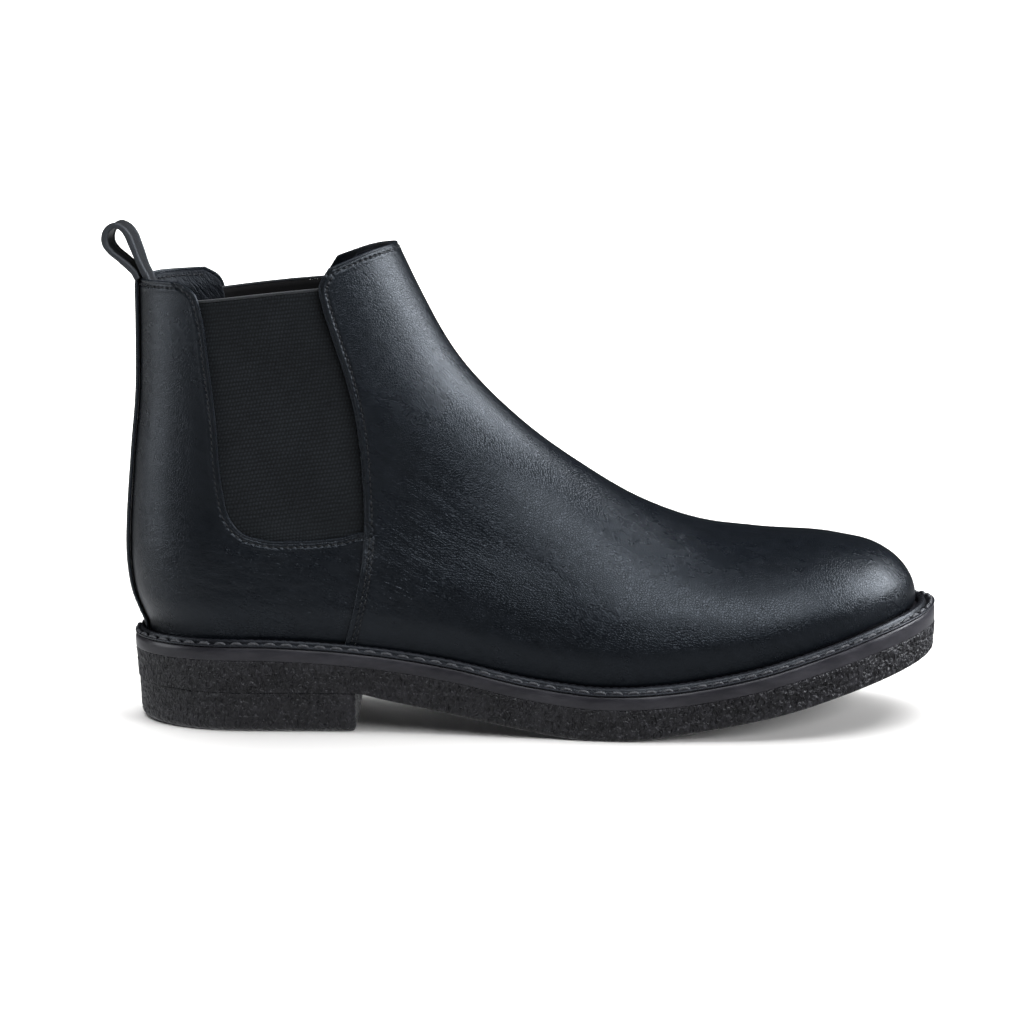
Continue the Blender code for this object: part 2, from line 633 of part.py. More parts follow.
def quarter_outlines():
    """The lateral quarter's lower outline, then the upper outline that leans with the collar."""
    low_top, high_base = back_share(SPLIT_HEIGHT - 2 * CLEARANCE), back_share(SPLIT_HEIGHT)
    angle, share = seam(QUARTER_EDGE, np.linspace(0, SPLIT_ROW, 24))
    edge = np.column_stack([-angle, share]).tolist()
    lower = run((-SEAM_ANGLE, 0.0), edge[0], 12) + edge + run(edge[-1], (-SEAM_ANGLE, low_top), 6)[1:]
    lower += [(-SEAM_ANGLE, share) for share in back_shares(0.0, low_top)[:0:-1]]
    angle, share = seam(QUARTER_EDGE, np.linspace(SPLIT_ROW + SPLIT_GAP, 1, 16))
    edge = np.column_stack([-angle, share]).tolist()
    upper = run((-SEAM_ANGLE, high_base), edge[0], 6) + edge + run(edge[-1], (-SEAM_ANGLE, 1.0), 6)[1:]
    upper += run((-SEAM_ANGLE, 1.0), (-SEAM_ANGLE, high_base), 12)
    return lower, upper


def add_rear(root, collar):
    bodies = (("", root), ("_upper", collar))
    for (suffix, parent), outline in zip(bodies, quarter_outlines()):
        add_panel(f"quarter_lateral{suffix}", outline, 12.0, QUARTER_LAYER, "upper_leather", parent)
        add_panel(f"quarter_medial{suffix}", mirrored(outline), 12.0, QUARTER_LAYER,
                  "upper_leather", parent)

    spans = ((0.0, back_share(SPLIT_HEIGHT - 2 * CLEARANCE)), (back_share(SPLIT_HEIGHT), 1.0))
    for (suffix, parent), (low, high) in zip(bodies, spans):
        shares = back_shares(low, high)
        x, z = back(shares)
        line = locate(np.column_stack([x + STRIP_DEPTH, z]))[0], shares
        add_panel(f"back_strip{suffix}", symmetric(line, 5, 5, 0.0), 5.0, OUTER_LAYER,
                  "upper_leather", parent)

    line = seam(HEEL_LINING_SEAM, np.linspace(0, 1, 6))
    add_panel("heel_lining", symmetric(line, 14, 14, 0.0), 16.0, HEEL_LINING_LAYER, "lining_leather", root)
    line = seam(COLLAR_LINING_SEAM, np.linspace(0, 1, 8))
    add_panel("heel_lining_upper", symmetric(line, 7, 7, 0.0), 16.0, COLLAR_LINING_LAYER,
              "lining_leather", collar)
    line = seam(COUNTER_SEAM, np.linspace(0, 1, 7))
    add_panel("heel_counter", symmetric(line, 12, 14, 0.0), 15.0, COUNTER_LAYER, "stiffener", root)


def add_gussets(root):
    def across(height):
        """A straight line in side view, this far above the gusset's upper corners."""
        ends = [(x, z + height) for x, z in (GUSSET_REAR[-1], GUSSET_FRONT[-1])]
        return np.column_stack(locate(np.linspace(*ends, 9))).tolist()

    rear = np.column_stack(seam(GUSSET_REAR, np.linspace(0, 1, 12))).tolist()
    front = np.column_stack(seam(GUSSET_FRONT, np.linspace(0, 1, 12))).tolist()
    gusset = rear + across(0)[1:-1] + front[::-1] + run(front[0], rear[0], 6)[1:]
    binding = across(CLEARANCE) + across(CLEARANCE + BINDING_HEIGHT)[::-1]
    for name, outline, spacing in (("gusset", gusset, 16.0), ("gusset_binding", binding, 12.0)):
        outline = mirrored(outline)
        add_panel(f"{name}_lateral", outline, spacing, ELASTIC_LAYER, "elastic", root)
        add_panel(f"{name}_medial", mirrored(outline), spacing, ELASTIC_LAYER, "elastic", root)


def add_pull_tab(parent):
    """A strap loop: its centre line swept across its width, then thickened both ways."""
    line = path(TAB_LINE)
    x, z = line(np.linspace(0, 1, 25))
    points = [(px, side * TAB_WIDTH / 2, pz) for px, pz in zip(x, z) for side in (-1, 1)]
    faces = [(2 * i, 2 * i + 1, 2 * i + 3, 2 * i + 2) for i in range(len(x) - 1)]
    made = add_object("pull_tab", points, faces, "upper_leather", parent)
    thickness = made.modifiers.new("Thickness", "SOLIDIFY")
    thickness.thickness = TAB_THICKNESS * MM
    thickness.offset = 0
    thickness.use_even_offset = True


def main():
    for stale in list(bpy.data.objects):
        bpy.data.objects.remove(stale)
    for name in ("chelsea_boot", "cutters"):
        bpy.context.scene.collection.children.link(bpy.data.collections.new(name))
    root = add_empty("boot_frame", (0.0, 0.0, 0.0))
    collar = add_empty("collar_hinge", (COLLAR_HINGE[0], 0.0, COLLAR_HINGE[1]), root)
    tab = add_empty("pull_tab_hinge", (TAB_HINGE[0], 0.0, TAB_HINGE[1]), collar)
    add_sole(root)
    add_welt(root)
    add_insides(root)
    add_forepart(root)
    add_rear(root, collar)
    add_gussets(root)
    add_pull_tab(tab)


main()
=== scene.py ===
"""Looks of a right-foot chelsea boot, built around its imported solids.

Lengths are in millimetres of the boot's own frame, whose x runs from the back of the sole to the toe,
until world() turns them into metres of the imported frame.
"""

import math
from collections import namedtuple

import bpy
import numpy as np
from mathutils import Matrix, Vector, kdtree, noise
from mathutils.geometry import delaunay_2d_cdt

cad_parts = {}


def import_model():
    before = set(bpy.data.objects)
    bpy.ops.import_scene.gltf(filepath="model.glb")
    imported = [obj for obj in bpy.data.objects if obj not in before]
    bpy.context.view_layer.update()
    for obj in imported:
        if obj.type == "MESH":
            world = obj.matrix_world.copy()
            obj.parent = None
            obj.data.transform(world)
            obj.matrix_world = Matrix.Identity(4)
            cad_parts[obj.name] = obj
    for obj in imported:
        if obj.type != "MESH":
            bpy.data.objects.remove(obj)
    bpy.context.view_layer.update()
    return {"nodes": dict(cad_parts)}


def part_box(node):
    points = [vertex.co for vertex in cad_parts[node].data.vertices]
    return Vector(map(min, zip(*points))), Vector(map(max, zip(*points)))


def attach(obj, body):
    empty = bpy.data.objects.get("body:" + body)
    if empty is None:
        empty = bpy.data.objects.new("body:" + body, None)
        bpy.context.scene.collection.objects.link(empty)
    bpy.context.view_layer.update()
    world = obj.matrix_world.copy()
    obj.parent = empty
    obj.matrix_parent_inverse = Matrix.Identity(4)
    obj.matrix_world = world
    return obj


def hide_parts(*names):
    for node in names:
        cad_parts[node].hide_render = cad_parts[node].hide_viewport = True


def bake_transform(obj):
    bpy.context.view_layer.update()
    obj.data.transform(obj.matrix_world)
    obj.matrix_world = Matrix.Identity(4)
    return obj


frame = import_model()

MM = 0.001
NAIL_LOW, NAIL_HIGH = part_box("heel_nail_1")
ORIGIN = np.array([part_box("midsole")[0].x, (NAIL_LOW.y + NAIL_HIGH.y) / 2, 0.0])
SOLE_LENGTH = (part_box("midsole")[1].x - ORIGIN[0]) / MM
HEEL_BREAST = (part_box("heel_block")[1].x - ORIGIN[0]) / MM

# The boot's shape: the same profiles as its solids
CLEARANCE = 0.3
LATERAL_HALF = [(0, 34.0), (45, 36.0), (100, 38.5), (150, 47.5), (195, 55.0), (250, 54.5), (306, 53.0)]
MEDIAL_HALF = [(0, 34.0), (45, 35.0), (100, 31.5), (150, 37.5), (205, 46.5), (260, 47.5), (306, 47.0)]
HEEL_ROUNDING = 42.0
TOE_ROUNDING = 74.0
TOE_SWING = 6.0
HEEL_REACH = 3.8
TOE_REACH = 7.2
HEEL_HEIGHT = 15.0

# Heights along the sole, and the height of the band on it: (x, z)
TREAD = [(0, 15.0), (84, 15.0), (98, 12.4), (114, 9.4), (140, 4.6), (160, 1.2), (176, 0.0),
         (188, 0.5), (204, 2.3), (225, 5.6), (247, 10.2), (266, 15.2), (288, 20.8), (306, 25.2)]
DECK = [(0, 26.6), (45, 27.2), (84, 25.2), (121, 20.4), (152, 14.2), (178, 11.8),
        (204, 13.2), (230, 17.4), (257, 24.2), (285, 31.4), (306, 35.8)]
BAND = [(0, 4.9), (200, 4.9), (306, 6.2)]

# The upper's outline in side view, up from its base on the sole: (x, z)
RIDGE = [(298.6, 46.0), (297.2, 51.2), (293.0, 57.6), (284.4, 64.0), (268.7, 68.2),
         (238.2, 70.9), (215.4, 74.2), (192.5, 82.5), (169.7, 96.2), (146.9, 113.2),
         (124.3, 137.1), (109.4, 162.4), (100.9, 180.7)]
BACK = [(3.7, 35.5), (1.8, 40.5), (-0.6, 47.0), (-2.3, 57.0), (-2.7, 66.0), (-2.4, 75.0),
        (-0.3, 101.0), (1.9, 124.0), (2.5, 143.0), (2.5, 167.0)]
TOPLINE = [(2.5, 167.0), (25, 167.2), (50, 167.8), (68, 169.4), (80, 174.0), (91.7, 178.4), (100.9, 180.7)]

# Seams in side view, each from the bottom up: (x, z)
VAMP_SEAM = [(81.4, 31.6), (85.0, 46.4), (87.6, 59.6), (89.0, 72.8), (88.6, 95.2), (86.8, 113.8),
             (82.8, 132.1), (77.6, 148.5), (74.6, 158.5), (73.4, 166.0), (77.0, 172.6)]
QUARTER_EDGE = [(89.5, 31.4), (96.0, 60.0), (95.5, 72.6), (90.0, 75.0), (80.4, 73.2), (65.6, 72.0),
                (52.0, 72.4), (43.6, 75.2), (39.0, 81.0), (36.8, 90.0), (34.2, 117.2), (31.6, 139.2),
                (29.4, 155.0), (26.6, 163.2), (20.5, 167.1)]
GUSSET_REAR = [(45.0, 64.5), (33.5, 72.0), (29.5, 84.0), (26.6, 117.0), (23.6, 145.0), (21.6, 158.6)]
GUSSET_FRONT = [(96.0, 66.5), (97.0, 80.0), (96.6, 96.0), (94.4, 115.0), (90.4, 133.0), (84.0, 151.0),
                (80.8, 165.0)]
LINING_SEAM = [(91.0, 31.4), (98.0, 59.6), (100.5, 80.0), (99.0, 105.0), (95.0, 130.0), (88.5, 152.0),
               (84.5, 166.0), (86.0, 175.6)]
REAR_LINING_EDGE = [(86.0, 31.2), (87.0, 50.0), (86.0, 67.0), (70.0, 69.6), (52.0, 70.2), (42.0, 74.0),
                    (37.4, 82.0), (35.4, 92.0), (33.0, 118.0), (30.6, 139.0), (28.4, 154.0), (25.6, 162.0),
                    (19.6, 166.0)]
STRIP_DEPTH = 1.1

# Layers of the upper: thickness of its leather and lining, and depths below its outer surface
LEATHER = 1.1
LINING = 1.0
QUARTER_DEPTH = 1.5
VAMP_LINING_DEPTH = 4.3
REAR_LINING_DEPTH = 5.7
LINING_STITCH_DEPTH = 4.15
WEAVE_DEPTHS = (3.2, 3.9)
BACKING_DEPTHS = (4.02, 4.4)
PIPING_DEPTH = 3.65

# Shaft of the boot: half widths at heights, and the rounding of its front
SHAFT_HALF = [(30, 31.0), (60, 32.0), (95, 30.6), (125, 30.2), (180, 31.4)]
BACK_ROUNDING = [(30, 38.0), (75, 40.0), (180, 46.0)]
FRONT_ROUNDING = 50.0
FORE_START = 75.0
FORE_END = 150.0
ARCH_POWER = [(80, 1.35), (150, 1.4), (200, 1.9), (260, 2.3), (298, 2.5)]
BULGE = 1.5

# Height shares count this much more than angles where the upper's facets are laid out
SHARE_SCALE = 3.0

# Angle from the middle of the back to the quarters' rear edges, under the back strip
SEAM_ANGLE = 0.03

# Pull tab: its centre line in side view, its width and its thickness
STRAP_LINE = [(9.7, 150.0), (9.3, 160.0), (8.0, 166.5), (6.2, 170.4), (4.6, 174.8), (2.9, 179.4),
              (1.3, 183.2), (-0.7, 185.6), (-3.2, 186.6), (-5.7, 185.3), (-7.1, 182.2), (-6.8, 179.4),
              (-4.8, 176.6), (-1.7, 174.0), (1.1, 171.4), (3.1, 169.2), (4.4, 166.6)]
TAB_WIDTH = 16.0
TAB_THICKNESS = 2.2
TAB_TWIST = 0.06

# Welt: its section, as shares of its reach and heights above the band, and its stitches
WELT_SECTION = [(0.10, 0.30), (0.50, 0.28), (0.93, 0.30), (0.985, 0.45), (0.99, 0.75), (0.955, 1.05),
                (0.88, 1.12), (0.80, 1.06), (0.72, 0.98), (0.66, 0.88), (0.60, 0.72), (0.545, 0.68),
                (0.50, 0.95), (0.475, 1.50), (0.445, 2.05), (0.39, 2.50), (0.31, 2.74), (0.22, 2.70),
                (0.155, 2.45), (0.115, 2.05), (0.10, 1.20)]
WELT_PITCH = 6.2
WELT_STITCH = 4.5
WELT_THREAD_RADIUS = 0.60

# Where the leather starts and stops leaning with the collar, and where the elastic does: (x, z)
COLLAR_BEND = ((20.0, 74.0), (20.0, 100.0))
ELASTIC_BEND = ((59.0, 121.0), (13.0, 139.5))


# Curves

def spline(points, limited=True):
    """A smooth function through (x, y) points; limited slopes keep it from overshooting."""
    x, y = np.array(points, dtype=float).T
    steps = np.diff(x)
    rates = np.diff(y) / steps
    slopes = np.empty(len(x))
    slopes[0], slopes[-1] = rates[0], rates[-1]
    slopes[1:-1] = (rates[:-1] * steps[1:] + rates[1:] * steps[:-1]) / (steps[1:] + steps[:-1])
    if limited:
        turning = rates[:-1] * rates[1:] <= 0
        slopes[1:-1] = np.where(turning, 0.0, slopes[1:-1])

    def value(at):
        at = np.clip(np.asarray(at, dtype=float), x[0], x[-1])
        i = np.clip(np.searchsorted(x, at) - 1, 0, len(steps) - 1)
        s = (at - x[i]) / steps[i]
        rise = y[i] * (1 + 2 * s) * (1 - s) ** 2 + y[i + 1] * s * s * (3 - 2 * s)
        return rise + steps[i] * (slopes[i] * s * (1 - s) ** 2 - slopes[i + 1] * s * s * (1 - s))

    return value


def path(points):
    """A smooth curve through (x, z) points, as a function of the share of its length."""
    points = np.array(points, dtype=float)
    lengths = np.concatenate([[0], np.cumsum(np.linalg.norm(np.diff(points, axis=0), axis=1))])
    share = lengths / lengths[-1]
    along_x = spline(np.column_stack([share, points[:, 0]]), limited=False)
    along_z = spline(np.column_stack([share, points[:, 1]]), limited=False)
    return lambda at: (along_x(at), along_z(at))


def smoothstep(value, low, high):
    share = np.clip((value - low) / (high - low), 0.0, 1.0)
    return share * share * (3 - 2 * share)


def rounding(distance, radius):
    """Share of the full width at a distance from a rounded end."""
    return np.sqrt(np.clip(1 - (1 - np.clip(distance / radius, 0, 1)) ** 2, 0, 1))


tread = spline(TREAD)
deck = spline(DECK)
band = spline(BAND)
lateral_half = spline(LATERAL_HALF)
medial_half = spline(MEDIAL_HALF)
shaft_half = spline(SHAFT_HALF)
back_rounding = spline(BACK_ROUNDING)
arch_power = spline(ARCH_POWER)
topline = spline(TOPLINE)


def band_top(x):
    return deck(x) + CLEARANCE + band(x)


def upper_base(x):
    return band_top(x) + CLEARANCE


TOE_FOOT = (SOLE_LENGTH - TOE_REACH, float(upper_base(SOLE_LENGTH - TOE_REACH)))
HEEL_FOOT = (HEEL_REACH, float(upper_base(HEEL_REACH)))
ridge = path([TOE_FOOT] + RIDGE)
back = path([HEEL_FOOT] + BACK)
SAMPLES = np.linspace(0, 1, 4001)
RIDGE_X, RIDGE_Z = ridge(SAMPLES)
BACK_X, BACK_Z = back(SAMPLES)


def centre_line(x):
    return TOE_SWING * smoothstep(x, 60.0, 300.0)


def side_half(x, side, heel_inset, toe_inset):
    """Half width of the sole before its ends are rounded, with its edge moved in by an inset."""
    half = np.where(side < 0, lateral_half(x), medial_half(x))
    return half - heel_inset - (toe_inset - heel_inset) * smoothstep(x, 40.0, 200.0)


def edge_half(x, side, heel_inset, toe_inset):
    """Half width of the sole, with its edge moved in by an inset at the heel and at the toe."""
    heel_end = rounding(x - heel_inset, HEEL_ROUNDING - heel_inset)
    toe_end = rounding(SOLE_LENGTH - toe_inset - x, TOE_ROUNDING - toe_inset)
    return side_half(x, side, heel_inset, toe_inset) * heel_end * toe_end


# The upper's outer surface, from an angle round the boot and a share of its height

def side_view(sigma, t):
    """The side view's x and z, blended from the outline's four edges."""
    base_x = HEEL_REACH + (SOLE_LENGTH - TOE_REACH - HEEL_REACH) * sigma
    top_x = TOPLINE[0][0] + (TOPLINE[-1][0] - TOPLINE[0][0]) * sigma
    edges = ((base_x, upper_base(base_x)), (top_x, topline(top_x)))
    back_edge, ridge_edge = back(t), ridge(t)
    result = []
    for axis in (0, 1):
        low, high = edges[0][axis], edges[1][axis]
        rear, front = back_edge[axis], ridge_edge[axis]
        corners = [HEEL_FOOT[axis], TOE_FOOT[axis], BACK[-1][axis], RIDGE[-1][axis]]
        corner = ((1 - sigma) * (1 - t) * corners[0] + sigma * (1 - t) * corners[1]
                  + (1 - sigma) * t * corners[2] + sigma * t * corners[3])
        result.append((1 - t) * low + t * high + (1 - sigma) * rear + sigma * front - corner)
    return result


def half_breadth(x, z, side):
    """Half the upper's breadth at a point of the side view."""
    base = edge_half(x, side, HEEL_REACH, TOE_REACH)
    base_z = upper_base(np.clip(x, HEEL_REACH, SOLE_LENGTH - TOE_REACH))
    ridge_z = np.interp(-x, -RIDGE_X, RIDGE_Z)
    ridge_z = ridge_z + np.clip(RIDGE_X[-1] - x, 0, None) * 2.2
    height = np.clip((z - base_z) / np.maximum(ridge_z - base_z, 1.0), 0, 1)
    fore = base * np.sqrt(1 - height ** arch_power(x))
    rear_x = np.interp(z, BACK_Z, BACK_X)
    front_x = np.interp(z, RIDGE_Z, RIDGE_X)
    foot_half = side_half(x, side, HEEL_REACH, TOE_REACH)
    width = foot_half + (shaft_half(z) - foot_half) * smoothstep(z, 35.0, 95.0)
    shaft = width * rounding(x - rear_x, back_rounding(z)) * rounding(front_x - x, FRONT_ROUNDING)
    share = smoothstep(x, FORE_START, FORE_END)
    breadth = shaft + (fore - shaft) * share
    rise = z - base_z
    bulge = BULGE * smoothstep(rise, 3.0, 16.0) * (1 - smoothstep(rise, 24.0, 52.0))
    return breadth + bulge * np.clip(breadth / 25.0, 0, 1) * np.clip(1.4 * (1 - height), 0, 1)


def surface(angle, t):
    """Points of the outer surface; angle 0 is the back, -pi to 0 is lateral and beyond is medial."""
    angle = (np.asarray(angle, dtype=float) + math.pi) % (2 * math.pi) - math.pi
    side = np.where(angle < 0, -1.0, 1.0)
    sigma = (1 - np.cos(angle)) / 2
    x, z = side_view(sigma, t)
    y = centre_line(x) + side * half_breadth(x, z, side)
    return np.stack([x, y, z], axis=-1)


def layer(angle, t, depth):
    """Points at a depth below the outer surface."""
    turn, rise = 0.03, 0.006
    t = np.asarray(t, dtype=float)
    across = surface(angle + turn, t) - surface(angle - turn, t)
    low, high = np.clip(t - rise, 0, 1), np.clip(t + rise, 0, 1)
    up = surface(angle, high) - surface(angle, low)
    normal = np.cross(up, across)
    normal /= np.linalg.norm(normal, axis=-1, keepdims=True)
    return surface(angle, t) - normal * np.reshape(depth, normal.shape[:-1] + (1,))


def slope(after, before, span):
    return [(a - b) / (span[0] - span[1]) for a, b in zip(after, before)]


def locate(points):
    """Angle round the lateral side and height share of side-view points."""
    target = np.array(points, dtype=float)
    grid_s, grid_t = np.meshgrid(np.linspace(0, 1, 81), np.linspace(0, 1, 81), indexing="ij")
    grid_x, grid_z = side_view(grid_s.ravel(), grid_t.ravel())
    far = (grid_x[None] - target[:, :1]) ** 2 + (grid_z[None] - target[:, 1:]) ** 2
    nearest = np.argmin(far, axis=1)
    s, t = grid_s.ravel()[nearest], grid_t.ravel()[nearest]
    step = 1e-3
    for _ in range(20):
        x, z = side_view(s, t)
        ahead = np.clip(s + step, 0, 1), np.clip(s - step, 0, 1)
        above = np.clip(t + step, 0, 1), np.clip(t - step, 0, 1)
        xs, zs = slope(side_view(ahead[0], t), side_view(ahead[1], t), ahead)
        xt, zt = slope(side_view(s, above[0]), side_view(s, above[1]), above)
        area = xs * zt - xt * zs
        dx, dz = target[:, 0] - x, target[:, 1] - z
        s = np.clip(s + (dx * zt - dz * xt) / area, 0, 1)
        t = np.clip(t + (dz * xs - dx * zs) / area, 0, 1)
    return np.arccos(1 - 2 * s), t


def seam(points, rows):
    """A seam line as angles and height shares, at evenly spaced rows."""
    return locate(np.column_stack(path(points)(rows)))


# Meshes

def world(points):
    """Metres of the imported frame, from millimetres of the boot's frame."""
    return np.asarray(points) * MM + ORIGIN


def add_piece(name, points, faces, looks, slot, body=None, replaced=(), edge=None):
    """A smooth piece. It rides on a body, or on none yet, and stands for the solids it replaces."""
    mesh = bpy.data.meshes.new(name)
    mesh.from_pydata(world(points).tolist(), [], faces)
    mesh.shade_smooth()
    mesh.materials.append(looks)
    if edge is not None:
        mesh.attributes.new("edge", "FLOAT", "POINT").data.foreach_set("value", edge.astype(np.float32))
    made = bpy.data.objects.new(name, mesh)
    bpy.context.scene.collection.objects.link(made)
    made.cycles.shadow_terminator_geometry_offset = 0.2
    if body:
        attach(made, body)
    if replaced:
        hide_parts(*replaced)
    return made


def lean(made):
    """Bakes the piece's place into its mesh; the collar's bend points are worked out but not used."""
    [world((x, 0.0, z)).tolist() for x, z in COLLAR_BEND]
    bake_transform(made)


def stretch(made):
    """Bakes the piece's place into its mesh; the elastic's bend points are worked out but not used."""
    [world((x, 0.0, z)).tolist() for x, z in ELASTIC_BEND]
    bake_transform(made)


def joined(meshes):
    """Several (points, faces) as one."""
    points, faces, start = [], [], 0
    for some_points, some_faces in meshes:
        points.append(some_points)
        faces += [[corner + start for corner in face] for face in some_faces]
        start += len(some_points)
    return np.concatenate(points), faces


def ring_faces(count, low, high):
    """Faces between two closed rings, by where each ring's points start."""
    return [(low + i, low + (i + 1) % count, high + (i + 1) % count, high + i) for i in range(count)]


def noise_at(points, cells, seed=0.0):
    """Smooth noise from about -1 to 1; cells are how many noise cells one millimetre holds on each axis."""
    return np.array([noise.noise(Vector(point)) for point in (points * np.array(cells) + seed).tolist()])


def bell(value, centre, width):
    return np.exp(-((value - centre) / width) ** 2)


def running_length(points):
    steps = np.linalg.norm(np.diff(points, axis=0), axis=1)
    return np.concatenate([[0], np.cumsum(steps)])


def resample(line, spacing):
    """A line of (angle, share) points with even steps on the surface."""
    lengths = running_length(surface(*line.T))
    at = np.linspace(0, lengths[-1], max(2, round(lengths[-1] / spacing)) + 1)
    return np.column_stack([np.interp(at, lengths, line[:, 0]), np.interp(at, lengths, line[:, 1])])


def directions(angle, share):
    """How the surface runs with the angle and with the height share."""
    step = 0.002
    low, high = np.clip(share - step, 0, 1), np.clip(share + step, 0, 1)
    by_angle = (surface(angle + step, share) - surface(angle - step, share)) / (2 * step)
    by_share = (surface(angle, high) - surface(angle, low)) / (high - low)[:, None]
    return by_angle, by_share


def shifted(line, distance):
    """A line of (angle, share) points moved to its left on the surface, angle to the right and share up."""
    by_angle, by_share = directions(*line.T)
    flow = np.gradient(line, axis=0)
    heading = by_angle * flow[:, :1] + by_share * flow[:, 1:]
    side = np.cross(np.cross(by_angle, by_share), heading)
    side *= distance / np.linalg.norm(side, axis=1, keepdims=True)
    aa, ab, bb = [(u * v).sum(axis=1) for u, v in
                  ((by_angle, by_angle), (by_angle, by_share), (by_share, by_share))]
    to_a, to_b = (side * by_angle).sum(axis=1), (side * by_share).sum(axis=1)
    moved = np.column_stack([to_a * bb - to_b * ab, to_b * aa - to_a * ab])
    return line + moved / (aa * bb - ab * ab)[:, None]


def nearest_on(line, points):
    """Each point's distance from a line, and the length along the line at the nearest place."""
    tree = kdtree.KDTree(len(line))
    for index, point in enumerate(line.tolist()):
        tree.insert(point, index)
    tree.balance()
    index = np.array([tree.find(point)[1] for point in points.tolist()], dtype=int)
    lengths = running_length(line)
    gap, at = np.full(len(points), np.inf), np.zeros(len(points))
    for start in (index - 1, index):
        start = np.clip(start, 0, len(line) - 2)
        first, step = line[start], line[start + 1] - line[start]
        along = ((points - first) * step).sum(axis=1) / np.maximum((step * step).sum(axis=1), 1e-12)
        along = np.clip(along, 0, 1)
        off = np.linalg.norm(points - first - step * along[:, None], axis=1)
        nearer = off < gap
        gap = np.where(nearer, off, gap)
        at = np.where(nearer, lengths[start] + along * np.linalg.norm(step, axis=1), at)
    return gap, at


def inside(outline, angle, share):
    """Whether points lie inside a closed outline of angles and height shares."""
    count = np.zeros(len(angle), dtype=int)
    for (a0, t0), (a1, t1) in zip(outline, np.roll(outline, -1, axis=0)):
        if t0 != t1:
            crosses = (t0 > share) != (t1 > share)
            count += crosses & (angle < a0 + (a1 - a0) * (share - t0) / (t1 - t0))
    return count % 2 == 1


def fill(outline, spacing):
    """Points spread over an outline's inside, on staggered rows about one spacing apart."""
    low, high = outline.min(axis=0), outline.max(axis=0)
    across = np.linspace(low[0], high[0], 25)
    shares = np.linspace(low[1], high[1], 60)
    sheet = surface(across[None].repeat(60, axis=0), shares[:, None].repeat(25, axis=1))
    rises = np.linalg.norm(np.diff(sheet, axis=0), axis=2)
    steps = np.concatenate([[0], np.cumsum(rises.max(axis=1))])
    row_gap = 0.87 * spacing
    rows = np.interp((np.arange(int(steps[-1] / row_gap)) + 0.5) * row_gap, steps, shares)
    chosen = []
    for number, share in enumerate(rows):
        angles = np.linspace(low[0], high[0], 400)
        lengths = running_length(surface(angles, np.full_like(angles, share)))
        at = np.arange(0.5 * (number % 2), lengths[-1] / spacing) * spacing
        angle = np.interp(at, lengths, angles)
        level = min(max(np.searchsorted(shares, share) - 1, 0), 58)
        rise = np.interp(angle, across, rises[level] / rises[level].max())
        skipped = np.clip(np.floor(-np.log2(np.maximum(rise, 0.05)) + 0.35), 0, 3).astype(int)
        angle = angle[number % 2 ** skipped == 0]
        chosen.append(np.column_stack([angle, np.full_like(angle, share)]))
    chosen = np.concatenate(chosen)
    return chosen[inside(outline, *chosen.T)]


# Leather panels. A sewn edge has a rim, a groove, a bead and rows of stitches beside it

Edge = namedtuple("Edge", "line rows pitch groove bead", defaults=((), 2.4, None, None))

SEWN_STEP = 0.5
HIDDEN_STEP = 2.2
RINGS = (0.1, 0.3, 0.6, 0.9, 1.2, 1.5, 1.8, 2.1, 2.4, 2.7, 3.0, 3.3, 3.7, 4.2, 4.8, 5.6)
RIM = 0.55


def sewn_depth(edge, gap, at):
    """How far the leather sinks beside a sewn edge, and the painted shade that darkens its groove and needle
    holes.
    """
    depth, painted_shade = np.zeros_like(gap), np.zeros_like(gap)
    if edge.groove:
        depth += 0.28 * bell(gap, edge.groove, 0.24)
        painted_shade += 0.7 * bell(gap, edge.groove, 0.22)
    if edge.bead:
        depth -= 0.24 * bell(gap, edge.bead, 0.36)
    for number, row in enumerate(edge.rows):
        hole = (0.5 + 0.5 * np.cos(2 * math.pi * (at / edge.pitch + number / 2))) ** 2
        depth += bell(gap, row, 0.40) * (0.12 + 0.42 * hole) - 0.10 * bell(gap, row + 1.1, 0.5)
        painted_shade += bell(gap, row, 0.34) * (0.25 + 0.75 * hole)
    return depth, painted_shade


